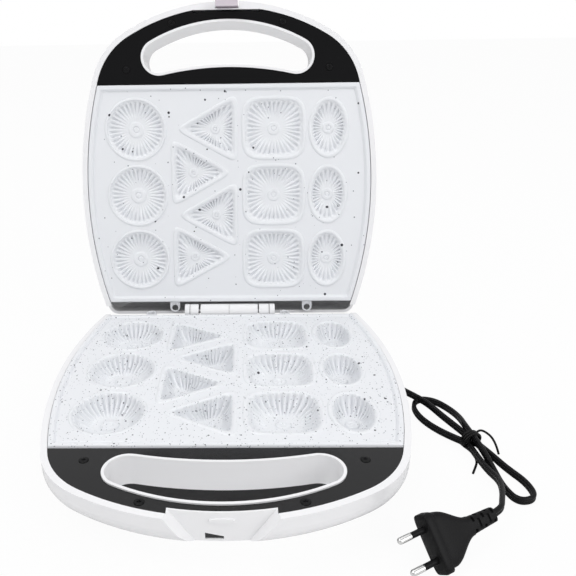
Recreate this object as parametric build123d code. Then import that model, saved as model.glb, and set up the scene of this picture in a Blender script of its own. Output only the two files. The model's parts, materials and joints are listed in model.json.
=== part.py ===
from build123d import *
import math
import os

# Madeleine maker: a countertop cooker with two hinged halves and thirteen fluted cake cavities.
# Each half is drawn closed, with the hinge axis on X at height 0 and the front towards -Y.
# The lid is then swung open about that axis, and the whole is stood on its feet.
# Depths named FRONT, REAR or V are distances in front of the hinge axis, so Y is minus V.

# Outline of the housing, seen from above
HALF_WIDTH = 132.2
FRONT_V = 271.6
REAR_V = -4.0
FRONT_RADIUS = 176.2
CORNER_RADIUS = 64.6
SIDE_RADIUS = 353.7
WIDEST_V = 111.7
REAR_CORNER = 10.0
REAR_EDGE_RADIUS = 12.0

# Housing walls
RIM_GAP = 0.8
SHELL_WALL = 2.6
RIM_WIDTH = 4.5
RIM_DEPTH = 3.4
BASE_DEPTH = 22.0
BASE_ROUND = 13.5
LID_DEPTH = 38.6
LID_ROUND = 25.0
SLOT_V = 5.0
SLOT_HALF = 7.5

# Bottom cover and feet
COVER_INSET = 19.4
COVER_DEPTH = 20.1
COVER_WALL = 2.2
OPENING_INSET = 32.0
OPENING_REAR_V = 28.0
OPENING_FRONT_V = 190.0
COVER_FRONT_V = 211.0
VENT_LENGTH = 34.0
VENT_WIDTH = 3.0
VENT_PITCH = 8.0
VENT_COUNT = 5
VENT_V = 120.0
FOOT_RADIUS = 8.0
FOOT_HEIGHT = 5.0
FOOT_X = 82.0
FOOT_REAR_V = 38.0
FOOT_FRONT_V = 186.0

# Handle opening, a kidney shape, and its white sleeve
HOLE_X = 60.2
HOLE_V = 226.3
HOLE_RADIUS = 13.3
HOLE_FRONT_V = 255.0
HOLE_REAR_V = 219.5
SLEEVE_WALL = 2.0
SLEEVE_RISE = 0.3

# Handle panels
PANEL_CLEAR = 0.15
PANEL_DROP = 0.7
PANEL_THICK = 2.0
PANEL_REAR_V = 204.2
PANEL_SCREWS = [(48.0, 254.3), (88.6, 216.4)]
SCREW_HEAD_RADIUS = 2.9
SCREW_HEAD_HEIGHT = 1.5
SCREW_SINK = 1.0
SCREW_RADIUS = 1.45
SCREW_CLEAR = 0.08
SCREW_LENGTH = 11.0
BOSS_RADIUS = 3.6

# Plates
PLATE_CLEAR = 0.35
PLATE_REAR_V = 8.5
PLATE_FRONT_V = 203.5
PLATE_THICK = 2.5
BASE_PLATE_TOP = 0.0
LID_PLATE_TOP = 3.0
BORDER_HEIGHT = 0.7
BORDER_V = 198.5
EAR_WIDTH = 9.0
EAR_END_V = -1.6
EAR_HOLE_RADIUS = 2.9
EAR_HOLE_V = 2.4
LID_EARS = [-51.9, 71.3]
BASE_EARS = [-73.3, 50.2]
TAB_X = 88.5
TAB_WIDTH = 12.0
TAB_REACH = 3.0
TAB_THICK = 0.5
POST_RADIUS = 3.5
POST_X = 117.5
POST_V = [62.0, 152.0]

# Cavities
ROW_MIDDLE_V = 106.8
ROW_PITCH = 58.5
CIRCLE_EDGE = 49.4
CIRCLE_HALF = 27.8
SQUARE_X = 40.3
SQUARE_HALF_X = 28.9
SQUARE_HALF_Y = 27.9
SQUARE_SHARPNESS = 4
OVAL_EDGE = 43.3
OVAL_HALF_X = 18.3
OVAL_HALF_Y = 26.7
TRI_BOSS_X = [-11.8, -32.2]
TRI_FIRST_V = 165.3
TRI_PITCH = 38.3
TRI_BACK = 20.0
TRI_SIDE = 17.9
TRI_TILT = 118.8
TRI_SHARPNESS = 7
BAND_WIDTH = 1.7
BAND_HEIGHT = 0.7
FLUTE_INSETS = {"circle": 2.8, "square": 3.9, "oval": 3.9, "triangle_right": 4.0, "triangle_left": 4.0}
FLUTE_DEPTH = 1.3
BASE_CAVITY_DEPTH = 11.5
LID_CAVITY_DEPTH = 3.6
CAVITY_FLOOR_SHARE = 0.6
BOWL_WALL = 1.8
BOWL_SIDES = 24
BOWL_SHARE_MORE = 0.06
LID_SHARE_MORE = 0.15
BUTTON_RADIUS = 5.0
BUTTON_DIMPLE = 2.5
BASE_BUTTON_RISE = 2.6
LID_BUTTON_RISE = 0.5

# Heaters and what feeds them
HEATER_DIAMETER = 5.2
HEATER_X = 64.0
HEATER_REAR_V = 44.0
HEATER_FRONT_V = 165.0
HEATER_BEND = 30.0
SEAT_GAP = 0.3
PIN_RADIUS = 1.4
PIN_LENGTH = 9.0
SHEET_THICK = 0.6
SHEET_INSET = 28.0
SHEET_REAR_V = 24.0
SHEET_FRONT_V = 194.0
THERMOSTAT_RADIUS = 7.0
THERMOSTAT_HEIGHT = 8.0
THERMOSTAT_EDGE = 15.2
FUSE_RADIUS = 2.5
FUSE_LENGTH = 16.0
BLOCK_SIZE = (20.0, 12.0, 9.0)
BLOCK_X = 64.0
BLOCK_V = 62.0
LEAD_RADIUS = 1.1

# Hinge
BARREL_RADIUS = 6.5
HINGE_PIN_RADIUS = 1.75
HINGE_PIN_CLEAR = 0.06
BASE_BARREL = (-27.5, -1.2)
LID_BARREL = (-0.9, 25.3)
LID_CHEEKS = [(-37.0, -29.4), (26.5, 35.5)]
BASE_LUGS = [(-42.0, -37.6), (36.2, 41.0)]
WEB_FRONT_V = 3.0
WEB_DEPTH = 12.0
LID_OPEN = 102.6

# Latch
BLOCK_HALF = 29.0
LATCH_BLOCK_V = 264.7
LATCH_BLOCK_RISE = 24.0
CHANNEL_HALF = 10.2
CHANNEL_V = 265.6
CHANNEL_RISE = 20.0
CLIP_HALF = 9.5
CLIP_V = 266.4
CLIP_THICK = 2.6
CLIP_DROP = 10.4
CLIP_PIVOT_V = 268.2
CLIP_PIVOT_RISE = 11.5
CLIP_BARREL = 2.5
CLIP_REST = 2.6
HOOK_V = 264.2
HOOK_HEIGHT = 2.4
LATCH_PIN_RADIUS = 1.25
LATCH_PIN_HALF = 15.0
RECESS_TOP_HALF = 31.7
RECESS_FOOT_HALF = 13.0
RECESS_SLOPE = 5.0
RECESS_V = 263.6
RECESS_SKIN = 1.1
NUB_HALF = 7.5
NUB_TOP = 4.0
NUB_HEIGHT = 3.2
NUB_REACH = 1.3
FINGER_SLOT_LEFT = (-9.9, -15.2)
FINGER_SLOT_RIGHT = (0.9, -17.6)

# Indicator lamps
LENS_RADIUS = 3.5
LENS_X = 10.0
LENS_V = 194.0
LENS_STAND = 1.0

# Cord, plug and tie. Points are X, Y from the hinge axis and height over the table.
CORD_DIAMETER = 4.6
GLAND_X = 80.0
GLAND_HEIGHT = 17.5
GLAND_LENGTH = 22.0
GLAND_RADII = (5.2, 3.0)
LEAD_POINTS = [
    (80.0, 30.0, 17.5),
    (94.0, 55.0, 10.0),
    (119.0, 60.0, 5.0),
    (137.0, 41.0, 4.0),
    (139.5, 11.0, 3.6),
    (136.5, -21.0, 3.4),
    (139.0, -52.0, 4.0),
]
HANK_POINTS = [
    (146.5, -75.0, 7.5),
    (153.5, -87.5, 9.6),
    (161.5, -98.5, 9.6),
    (170.0, -110.5, 6.0),
    (178.5, -125.5, 4.6),
    (185.3, -141.4, 4.6),
    (192.5, -156.0, 4.0),
    (199.0, -171.5, 3.2),
    (207.5, -187.0, 3.1),
    (208.0, -202.5, 3.1),
    (194.5, -206.0, 3.1),
    (189.5, -192.0, 3.2),
    (188.8, -175.0, 4.4),
    (185.6, -156.0, 9.8),
    (181.8, -131.0, 10.4),
    (183.2, -112.5, 6.0),
    (179.0, -95.5, 3.2),
    (170.5, -84.5, 3.1),
    (157.5, -82.0, 3.1),
    (151.0, -93.5, 3.1),
    (153.0, -109.0, 3.1),
    (161.0, -123.5, 3.2),
    (171.0, -136.5, 4.4),
    (180.2, -144.5, 4.6),
]
TAIL_POINTS = [
    (182.4, -162.0, 4.4),
    (183.8, -178.0, 6.3),
    (186.0, -191.4, 9.5),
    (182.6, -205.5, 13.2),
    (177.2, -218.4, 16.0),
]
TIE_CENTRE = (182.1, -142.8, 7.0)
TIE_HEADING = -68.0
TIE_BORE = (7.5, 6.1)
TIE_WALL = 0.8
TIE_WIDTH = 5.0
WIRE_RADIUS = 0.8
WIRE_POINTS = [(187.0, -139.9, 11.0), (194.0, -135.0, 10.0), (200.5, -143.5, 7.0), (199.5, -155.0, 4.0)]
PLUG_FACE = (121.5, -256.5)
PLUG_HEADING = 28.0
PLUG_PITCH = -2.0
PLUG_ROLL = 47.0
PLUG_HEIGHT = 15.9
PLUG_WIDTH = 35.3
PLUG_THICK = 13.7
COLLAR_LENGTH = 6.0
PLUG_BODY_LENGTH = 31.0
NECK_WIDTH = 11.5
RELIEF_LENGTH = 19.0
PLUG_LEAD_IN = 8.0
RELIEF_THICK = 8.0
PLUG_PIN_RADIUS = 2.0
PLUG_PIN_LENGTH = 19.0
PIN_TIP_ROUND = 1.2
PIN_NECK_RADIUS = 1.5
PIN_NECK_LENGTH = 0.6
PIN_ROOT = 4.5
PLUG_PIN_SPACING = 18.3

# Derived places and heights
CIRCLE_X = CIRCLE_EDGE - HALF_WIDTH
OVAL_X = HALF_WIDTH - OVAL_EDGE
THERMOSTAT_X = HALF_WIDTH - THERMOSTAT_EDGE
RIM = RIM_GAP / 2
BASE_FLOOR = -RIM - BASE_DEPTH
COVER_FLOOR = BASE_FLOOR - COVER_DEPTH
TABLE = COVER_FLOOR - FOOT_HEIGHT
LID_ROOF = RIM + LID_DEPTH


def spot(x, v, z=0.0):
    return Vector(x, -v, z)


def block(x0, x1, v0, v1, z0, z1):
    size = Box(x1 - x0, v1 - v0, z1 - z0)
    return Pos((x0 + x1) / 2, -(v0 + v1) / 2, (z0 + z1) / 2) * size


def rod(x, v, z0, z1, radius):
    return Pos(x, -v, (z0 + z1) / 2) * Cylinder(radius, z1 - z0)


def cross_rod(x0, x1, v, z, radius):
    return Pos((x0 + x1) / 2, -v, z) * Rot(0, 90, 0) * Cylinder(radius, x1 - x0)


# Outline curves
def arc(centre, radius, start, end):
    middle = (start + end) / 2 - centre
    return ThreePointArc(start, centre + middle.normalized() * radius, end)


def outline_centres():
    front = spot(0, FRONT_V - FRONT_RADIUS)
    side = spot(HALF_WIDTH - SIDE_RADIUS, WIDEST_V)
    near = FRONT_RADIUS - CORNER_RADIUS
    far = SIDE_RADIUS - CORNER_RADIUS
    gap = side - front
    along = (near**2 - far**2 + gap.length**2) / (2 * gap.length)
    across = math.sqrt(near**2 - along**2)
    step = gap.normalized()
    turned = Vector(-step.Y, step.X, 0)
    options = [front + step * along + turned * across * sign for sign in (1, -1)]
    return front, max(options, key=lambda point: point.X), side


def outline(inset, corner):
    front, bend, side = outline_centres()
    front_reach = FRONT_RADIUS - inset
    side_reach = SIDE_RADIUS - inset
    rear_v = REAR_V + inset
    start = spot(0, FRONT_V - inset)
    first = front + (bend - front).normalized() * front_reach
    second = side + (bend - side).normalized() * side_reach
    rear_rise = WIDEST_V - rear_v - corner
    reach = side_reach - corner
    hub = spot(side.X + math.sqrt(reach**2 - rear_rise**2), rear_v + corner)
    third = side + (hub - side).normalized() * side_reach
    fourth = Vector(hub.X, -rear_v, 0)
    edges = [
        arc(front, front_reach, start, first),
        arc(bend, CORNER_RADIUS - inset, first, second),
        arc(side, side_reach, second, third),
    ]
    if corner > 0:
        edges.append(arc(hub, corner, third, fourth))
    edges.append(Line(fourth, Vector(0, -rear_v, 0)))
    mirrored = [edge.mirror(Plane.YZ) for edge in edges]
    return make_face(edges + mirrored)


def slab(inset, z0, z1, rear_v=REAR_V, front_v=FRONT_V):
    corner = max(REAR_CORNER - inset, 0.0)
    solid = Pos(0, 0, z0) * extrude(outline(inset, corner), z1 - z0)
    return solid & block(-HALF_WIDTH, HALF_WIDTH, rear_v, front_v, z0, z1)


def kidney(grow):
    rise = HOLE_FRONT_V - HOLE_V
    front_radius = (HOLE_X**2 + rise**2 - HOLE_RADIUS**2) / (2 * (rise - HOLE_RADIUS))
    dip = HOLE_V - HOLE_REAR_V
    rear_radius = (HOLE_X**2 + dip**2 - HOLE_RADIUS**2) / (2 * (HOLE_RADIUS - dip))
    front = spot(0, HOLE_FRONT_V - front_radius)
    rear = spot(0, HOLE_REAR_V - rear_radius)
    end = spot(HOLE_X, HOLE_V)
    top = front + (end - front).normalized() * (front_radius + grow)
    low = rear + (end - rear).normalized() * (rear_radius - grow)
    outer = end + Vector(HOLE_RADIUS + grow, 0, 0)
    nose = spot(0, HOLE_FRONT_V + grow)
    heel = spot(0, HOLE_REAR_V - grow)
    edges = [
        arc(front, front_radius + grow, nose, top),
        ThreePointArc(top, outer, low),
        arc(rear, rear_radius - grow, low, heel),
    ]
    mirrored = [edge.mirror(Plane.YZ) for edge in edges]
    return make_face(edges + mirrored)


def kidney_prism(grow, z0, z1):
    return Pos(0, 0, z0) * extrude(kidney(grow), z1 - z0)


# A housing body: a prism of the outline with its far edge rounded, its rear left upright
def pan(inset, depth, rounding, floor_thick=0.0):
    far = depth - floor_thick
    solid = extrude(outline(inset, 0.0), far)
    edges = [e for e in solid.edges().sort_by(Axis.Z)[-7:] if e.geom_type == GeomType.CIRCLE]
    solid = fillet(edges, rounding - inset)
    corner = max(REAR_CORNER - inset, 1.0)
    solid = solid & extrude(outline(inset, corner), far)
    profile = Pos(0, -(REAR_V + inset + FRONT_V) / 2, 0) * Box(
        2 * HALF_WIDTH, FRONT_V - REAR_V - inset, 2 * far
    )
    rear_edges = profile.edges().filter_by(Axis.X).sort_by(Axis.Y)[-2:]
    return solid & fillet(rear_edges, REAR_EDGE_RADIUS - inset)


def base_pan(inset, floor_thick=0.0):
    return Pos(0, 0, -RIM) * pan(inset, BASE_DEPTH, BASE_ROUND, floor_thick).mirror(Plane.XY)


def lid_pan(inset, floor_thick=0.0):
    return Pos(0, 0, RIM) * pan(inset, LID_DEPTH, LID_ROUND, floor_thick)


# Cavity shapes, as a distance from the boss in each direction
def rounded_radius(angle, sides, sharpness):
    total = 0.0
    for heading, distance in sides:
        reach = math.cos(math.radians(angle - heading))
        if reach > 0:
            total += (reach / distance) ** sharpness
    return total ** (-1 / sharpness)


def square_sides(shrink):
    half_x = SQUARE_HALF_X - shrink
    half_y = SQUARE_HALF_Y - shrink
    return [(0, half_x), (90, half_y), (180, half_x), (270, half_y)]


def triangle_sides(shrink, turn):
    tilts = [0, TRI_TILT, -TRI_TILT]
    distances = [TRI_BACK, TRI_SIDE, TRI_SIDE]
    return [(turn + tilt, distance - shrink) for tilt, distance in zip(tilts, distances)]


def cavity_radius(kind, angle, shrink):
    if kind == "circle":
        return CIRCLE_HALF - shrink
    if kind == "oval":
        across = math.cos(math.radians(angle)) / (OVAL_HALF_X - shrink)
        along = math.sin(math.radians(angle)) / (OVAL_HALF_Y - shrink)
        return 1 / math.hypot(across, along)
    if kind == "square":
        return rounded_radius(angle, square_sides(shrink), SQUARE_SHARPNESS)
    turn = 0 if kind == "triangle_right" else 180
    return rounded_radius(angle, triangle_sides(shrink, turn), TRI_SHARPNESS)


FLUTES = {"circle": 34, "square": 34, "oval": 28, "triangle_right": 30, "triangle_left": 30}
ARC_ENDS = {
    "circle": [0, 90, 180, 270],
    "oval": [25, 65, 115, 155, 205, 245, 295, 335],
    "square": [30, 59, 121, 150, 210, 239, 301, 330],
    "triangle_right": [-44, 44, 66, 165, 195, 294],
    "triangle_left": [-15, 15, 114, 136, 224, 246],
}


def cavity_list():
    places = []
    for row in (1, 0, -1):
        v = ROW_MIDDLE_V + row * ROW_PITCH
        places.append(("circle", CIRCLE_X, v))
        places.append(("square", SQUARE_X, v))
        places.append(("oval", OVAL_X, v))
    for step in range(4):
        kind = ("triangle_right", "triangle_left")[step % 2]
        places.append((kind, TRI_BOSS_X[step % 2], TRI_FIRST_V - step * TRI_PITCH))
    return places


def ring_points(kind, place, shrink, ripple, share, count):
    points = []
    for step in range(count):
        angle = 360 * step / count
        reach = (cavity_radius(kind, angle, shrink) - ripple * (step % 2)) * share
        heading = math.radians(angle)
        points.append(place + Vector(reach * math.cos(heading), reach * math.sin(heading), 0))
    return points


def edge_point(kind, place, angle, shrink):
    reach = cavity_radius(kind, angle, shrink)
    heading = math.radians(angle)
    return place + Vector(reach * math.cos(heading), reach * math.sin(heading), 0)


# The smooth outline of a cavity, as arcs that meet at the given headings
def smooth_prism(kind, place, shrink, z0, z1):
    ends = ARC_ENDS[kind]
    arcs = []
    for start, end in zip(ends, ends[1:] + [ends[0] + 360]):
        angles = (start, (start + end) / 2, end)
        arcs.append(ThreePointArc(*[edge_point(kind, place, angle, shrink) for angle in angles]))
    return Pos(0, 0, z0) * extrude(make_face(arcs), z1 - z0)


# A tapered solid of flat sides, which are ripples where the cavity is fluted
def tapered(kind, place, shrink, ripple, depth, count, share, over=0.0):
    slope = (1 - share) / depth
    near = ring_points(kind, place - Vector(0, 0, over), shrink, ripple, 1 + slope * over, count)
    far = ring_points(kind, place + Vector(0, 0, depth), shrink, ripple, share, count)
    corners = zip(near, near[1:] + near[:1], far[1:] + far[:1], far)
    rings = [list(quad) for quad in corners] + [near, far]
    return Solid(Shell([Face(Wire.make_polygon(ring)) for ring in rings]))


# A plate, drawn face down: its cooking face at height 0 and its back above it
def plate(ears, depth, button_rise, floor_share):
    rear = max(PLATE_REAR_V, REAR_V + RIM_WIDTH + PLATE_CLEAR)
    body = slab(RIM_WIDTH + PLATE_CLEAR, 0, PLATE_THICK, rear, PLATE_FRONT_V)
    border = slab(RIM_WIDTH + PLATE_CLEAR, -BORDER_HEIGHT, 0.2, BORDER_V, PLATE_FRONT_V)
    body = body + border
    for x in ears:
        tip_v = EAR_END_V + EAR_WIDTH / 2
        ear = block(x - EAR_WIDTH / 2, x + EAR_WIDTH / 2, tip_v, rear + 1, 0, PLATE_THICK)
        tip = rod(x, tip_v, 0, PLATE_THICK, EAR_WIDTH / 2)
        hole = rod(x, EAR_HOLE_V, -1, PLATE_THICK + 1, EAR_HOLE_RADIUS)
        body = body + ear + tip - hole
    bowls = []
    hollows = []
    for kind, x, v in cavity_list():
        place = spot(x, v)
        outer = smooth_prism(kind, place, 0, -BAND_HEIGHT, 0.2)
        bowls.append(outer - smooth_prism(kind, place, BAND_WIDTH, -BAND_HEIGHT - 1, 1))
        inset = FLUTE_INSETS[kind]
        bowl_share = floor_share + BOWL_SHARE_MORE
        bowls.append(tapered(kind, place, inset - BOWL_WALL, 0, depth + BOWL_WALL, BOWL_SIDES, bowl_share))
        hollow = tapered(kind, place, inset, FLUTE_DEPTH, depth, 2 * FLUTES[kind], floor_share, 1.0)
        button = rod(x, v, depth - button_rise, depth + 1, BUTTON_RADIUS)
        dimple = rod(x, v, depth - button_rise - 1, depth - button_rise + 0.4, BUTTON_DIMPLE)
        hollows.append(hollow - (button - dimple))
    return body + bowls - hollows


def make_base_plate():
    face_down = plate(BASE_EARS, BASE_CAVITY_DEPTH, BASE_BUTTON_RISE, CAVITY_FLOOR_SHARE)
    return Pos(0, 0, BASE_PLATE_TOP) * face_down.mirror(Plane.XY)


def make_lid_plate():
    face_down = plate(LID_EARS, LID_CAVITY_DEPTH, LID_BUTTON_RISE, CAVITY_FLOOR_SHARE + LID_SHARE_MORE)
    tabs = []
    for x in (-TAB_X, TAB_X):
        low = RIM - LID_PLATE_TOP
        left = x - TAB_WIDTH / 2
        right = x + TAB_WIDTH / 2
        tabs.append(block(left, right, PLATE_FRONT_V, PLATE_FRONT_V + TAB_THICK, low, 0))
        tabs.append(block(left, right, PLATE_FRONT_V, PLATE_FRONT_V + TAB_REACH, low, low + TAB_THICK))
    return Pos(0, 0, LID_PLATE_TOP) * (face_down + tabs)


def screw_places():
    return [(side * x, v) for x, v in PANEL_SCREWS for side in (-1, 1)]


PANEL_BACK = PANEL_DROP + PANEL_THICK


# A shell, drawn as the lid: rim at the bottom, roof on top
def shell(outer, hollow, depth):
    ledge_top = RIM + RIM_DEPTH
    ledge = slab(0, RIM, ledge_top) - slab(RIM_WIDTH, RIM - 1, ledge_top + 1)
    solid = outer - hollow + (ledge & outer)
    far = RIM + depth
    sleeve = kidney_prism(SLEEVE_WALL, RIM - SLEEVE_RISE, far)
    solid = solid + (sleeve & (outer + slab(RIM_WIDTH, 0, 2)))
    for x, v in screw_places():
        solid = solid + (rod(x, v, RIM + PANEL_BACK, far, BOSS_RADIUS) & outer)
        solid = solid - rod(x, v, RIM, RIM + PANEL_BACK + SCREW_LENGTH, SCREW_RADIUS + SCREW_CLEAR)
    return solid - kidney_prism(0, -1, far + 1)


def panel(notch_half, notch_v):
    low = RIM + PANEL_DROP
    solid = slab(RIM_WIDTH + PANEL_CLEAR, low, low + PANEL_THICK, PANEL_REAR_V)
    solid = solid - kidney_prism(SLEEVE_WALL + PANEL_CLEAR, 0, low + PANEL_THICK + 1)
    notch_inset = FRONT_V - notch_v + PANEL_CLEAR
    reach = block(-notch_half - PANEL_CLEAR, notch_half + PANEL_CLEAR, PANEL_REAR_V, FRONT_V, 0, 6)
    solid = solid - (reach - slab(notch_inset, 0, 6))
    for x, v in screw_places():
        solid = solid - rod(x, v, 0, low + SCREW_SINK, SCREW_HEAD_RADIUS + 0.3)
        solid = solid - rod(x, v, 0, low + PANEL_THICK + 1, SCREW_RADIUS + SCREW_CLEAR)
    return solid


def panel_screws():
    low = RIM + PANEL_DROP + SCREW_SINK
    screws = []
    for x, v in screw_places():
        head = rod(x, v, low - SCREW_HEAD_HEIGHT, low, SCREW_HEAD_RADIUS)
        head = fillet(head.edges().sort_by(Axis.Z)[0], 0.7)
        cross = block(x - 1.5, x + 1.5, v - 0.3, v + 0.3, low - 2, low - 0.8)
        cross = cross + block(x - 0.3, x + 0.3, v - 1.5, v + 1.5, low - 2, low - 0.8)
        shank = rod(x, v, low, low + SCREW_LENGTH - 1, SCREW_RADIUS)
        screws.append(head - cross + shank)
    return screws


# Latch recess in the base front: a scoop whose sides slope in towards its foot
def recess_scoop():
    foot = BASE_FLOOR - 1
    sections = []
    for z, half in ((1.0, RECESS_TOP_HALF), (foot, RECESS_FOOT_HALF)):
        wide = half + RECESS_SLOPE
        corners = [
            spot(-half, RECESS_V - 4, z),
            spot(half, RECESS_V - 4, z),
            spot(wide, FRONT_V + 5, z),
            spot(-wide, FRONT_V + 5, z),
        ]
        sections.append(make_face(Polyline(*corners, close=True)))
    return loft(sections, ruled=True) - slab(FRONT_V - RECESS_V, foot, 1)


# Finger slot in the recess: its top edge falls to the right
def finger_slot(foot):
    ends = (FINGER_SLOT_LEFT, FINGER_SLOT_RIGHT)
    top = [spot(x, RECESS_V + 2, z) for x, z in ends]
    bottom = [spot(x, RECESS_V + 2, foot) for x, z in reversed(ends)]
    return extrude(make_face(Polyline(*top, *bottom, close=True)), 10, dir=(0, 1, 0))


def recess_wall(half, inset, top):
    solid = block(-half, half, HOLE_FRONT_V, FRONT_V, BASE_FLOOR, top)
    return solid - slab(inset, BASE_FLOOR - 1, 1)


def make_base_shell():
    outer = base_pan(0)
    hollow = base_pan(SHELL_WALL, SHELL_WALL) + slab(SHELL_WALL, -RIM - 3, -RIM)
    solid = shell(outer.mirror(Plane.XY), hollow.mirror(Plane.XY), BASE_DEPTH).mirror(Plane.XY)
    inset = FRONT_V - RECESS_V
    thin = recess_wall(RECESS_TOP_HALF, inset + RECESS_SKIN, -RIM)
    thick = recess_wall(RECESS_TOP_HALF + RECESS_SLOPE, inset + SHELL_WALL, -RIM - PANEL_BACK - SEAT_GAP)
    solid = solid + (thin & outer) + (thick & outer) - recess_scoop()
    nub_z = -NUB_TOP - NUB_HEIGHT / 2
    nub = scale(Cylinder(1, 2 * NUB_REACH, rotation=(90, 0, 0)), (NUB_HALF, 1, NUB_HEIGHT / 2))
    solid = solid + Pos(0, -RECESS_V, nub_z) * nub
    floor_top = BASE_FLOOR + SHELL_WALL
    solid = solid - finger_slot(floor_top)
    opening = slab(OPENING_INSET, BASE_FLOOR - 1, floor_top + 1, OPENING_REAR_V, OPENING_FRONT_V)
    solid = solid - opening - block(-HALF_WIDTH, HALF_WIDTH, REAR_V - 1, SLOT_V, -SLOT_HALF, 1)
    for x0, x1 in [BASE_BARREL] + BASE_LUGS:
        solid = solid + cross_rod(x0, x1, 0, 0, BARREL_RADIUS)
        solid = solid + block(x0, x1, REAR_V, WEB_FRONT_V, -WEB_DEPTH, 0)
    solid = solid - cross_rod(-HALF_WIDTH, HALF_WIDTH, 0, 0, HINGE_PIN_RADIUS + HINGE_PIN_CLEAR)
    for x in (-POST_X, POST_X):
        for v in POST_V:
            post = rod(x, v, BASE_FLOOR, BASE_PLATE_TOP - PLATE_THICK, POST_RADIUS)
            solid = solid + (post & outer)
    for x, v in cover_screw_places():
        solid = solid + rod(x, v, BASE_FLOOR, floor_top + 3.2, BOSS_RADIUS - 0.4)
        solid = solid - rod(x, v, BASE_FLOOR - 1, floor_top + 2, SCREW_RADIUS + SCREW_CLEAR)
    return solid


def cover_screw_places():
    side = outline_centres()[2]
    places = []
    for v in (FOOT_REAR_V + 14, FOOT_FRONT_V - 16):
        reach = SIDE_RADIUS - (SHEET_INSET - BOSS_RADIUS - 0.4)
        x = side.X + math.sqrt(reach**2 - (v - WIDEST_V) ** 2)
        places += [(-x, v), (x, v)]
    return places


def make_base_cover():
    solid = slab(COVER_INSET, COVER_FLOOR, BASE_FLOOR, REAR_V, COVER_FRONT_V)
    inside = COVER_INSET + COVER_WALL
    low = COVER_FLOOR + COVER_WALL
    solid = solid - slab(inside, low, BASE_FLOOR + 1, REAR_V, COVER_FRONT_V - COVER_WALL)
    for row in range(VENT_COUNT):
        v = VENT_V + (row - (VENT_COUNT - 1) / 2) * VENT_PITCH
        for x in (-VENT_LENGTH, VENT_LENGTH):
            ends = (x - VENT_LENGTH / 2, x + VENT_LENGTH / 2)
            solid = solid - block(*ends, v, v + VENT_WIDTH, COVER_FLOOR - 1, COVER_FLOOR + 5)
    for x, v in cover_screw_places():
        solid = solid + rod(x, v, COVER_FLOOR, BASE_FLOOR, BOSS_RADIUS)
        solid = solid - rod(x, v, COVER_FLOOR - 1, COVER_FLOOR + 2.2, SCREW_HEAD_RADIUS + 0.3)
        solid = solid - rod(x, v, COVER_FLOOR - 1, BASE_FLOOR + 1, SCREW_RADIUS + SCREW_CLEAR)
    gland_hole = Pos(GLAND_X, -REAR_V - COVER_INSET, TABLE + GLAND_HEIGHT)
    solid = solid - gland_hole * Rot(90, 0, 0) * Cylinder(GLAND_RADII[0] + 0.1, 3 * COVER_WALL)
    return solid


def cover_screws():
    screws = []
    for x, v in cover_screw_places():
        head = rod(x, v, COVER_FLOOR + 0.5, COVER_FLOOR + 2.2, SCREW_HEAD_RADIUS)
        head = head - block(x - 1.6, x + 1.6, v - 0.3, v + 0.3, COVER_FLOOR, COVER_FLOOR + 1.2)
        screws.append(head + rod(x, v, COVER_FLOOR + 2, BASE_FLOOR + SHELL_WALL + 1.5, SCREW_RADIUS))
    return screws


def feet():
    pads = []
    for x in (-FOOT_X, FOOT_X):
        for v in (FOOT_REAR_V, FOOT_FRONT_V):
            foot = rod(x, v, TABLE, COVER_FLOOR, FOOT_RADIUS)
            pads.append(fillet(foot.edges().sort_by(Axis.Z)[0], 1.2))
    return pads


def latch_rod(half, radius):
    return cross_rod(-half, half, CLIP_PIVOT_V, CLIP_PIVOT_RISE, radius)


def make_lid_shell():
    outer = lid_pan(0)
    hollow = lid_pan(SHELL_WALL, SHELL_WALL) + slab(SHELL_WALL, RIM, RIM + 3)
    solid = shell(outer, hollow, LID_DEPTH)
    front = block(-BLOCK_HALF, BLOCK_HALF, LATCH_BLOCK_V, FRONT_V, RIM, RIM + LATCH_BLOCK_RISE) & outer
    solid = solid + front
    solid = solid - block(-CHANNEL_HALF, CHANNEL_HALF, CHANNEL_V, FRONT_V + 1, 0, RIM + CHANNEL_RISE)
    solid = solid - latch_rod(LATCH_PIN_HALF + 0.1, LATCH_PIN_RADIUS + HINGE_PIN_CLEAR)
    solid = solid - block(-HALF_WIDTH, HALF_WIDTH, REAR_V - 1, SLOT_V, -1, SLOT_HALF)
    for x0, x1 in [LID_BARREL] + LID_CHEEKS:
        solid = solid + cross_rod(x0, x1, 0, 0, BARREL_RADIUS)
        solid = solid + block(x0, x1, REAR_V, WEB_FRONT_V, 0, WEB_DEPTH)
    solid = solid - cross_rod(-HALF_WIDTH, HALF_WIDTH, 0, 0, HINGE_PIN_RADIUS + HINGE_PIN_CLEAR)
    for x in (-POST_X, POST_X):
        for v in POST_V:
            solid = solid + (rod(x, v, LID_PLATE_TOP + PLATE_THICK, LID_ROOF, POST_RADIUS) & outer)
    for x in (-HEATER_X, HEATER_X):
        for v in POST_V:
            solid = solid + rod(x + math.copysign(12, x), v, lid_sheet_top(), LID_ROOF - 1, POST_RADIUS)
    for x in (-LENS_X, LENS_X):
        solid = solid - rod(x, LENS_V, LID_ROOF - 5, LID_ROOF + 1, LENS_RADIUS + 0.1)
    return solid


# Heater and sheet, drawn for the lid and mirrored for the base
def heater_height(plate_top, depth):
    return plate_top + depth + BOWL_WALL + SEAT_GAP + HEATER_DIAMETER / 2


def heater(height):
    corners = [
        spot(HEATER_X, HEATER_REAR_V, height),
        spot(HEATER_X, HEATER_FRONT_V, height),
        spot(-HEATER_X, HEATER_FRONT_V, height),
        spot(-HEATER_X, HEATER_REAR_V, height),
    ]
    path = FilletPolyline(*corners, radius=HEATER_BEND)
    tube = sweep(Plane(path @ 0, z_dir=path % 0) * Circle(HEATER_DIAMETER / 2), path=path)
    for x in (-HEATER_X, HEATER_X):
        tube = tube + rod(x, HEATER_REAR_V + 2, height, height + PIN_LENGTH, PIN_RADIUS)
    return tube


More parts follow.
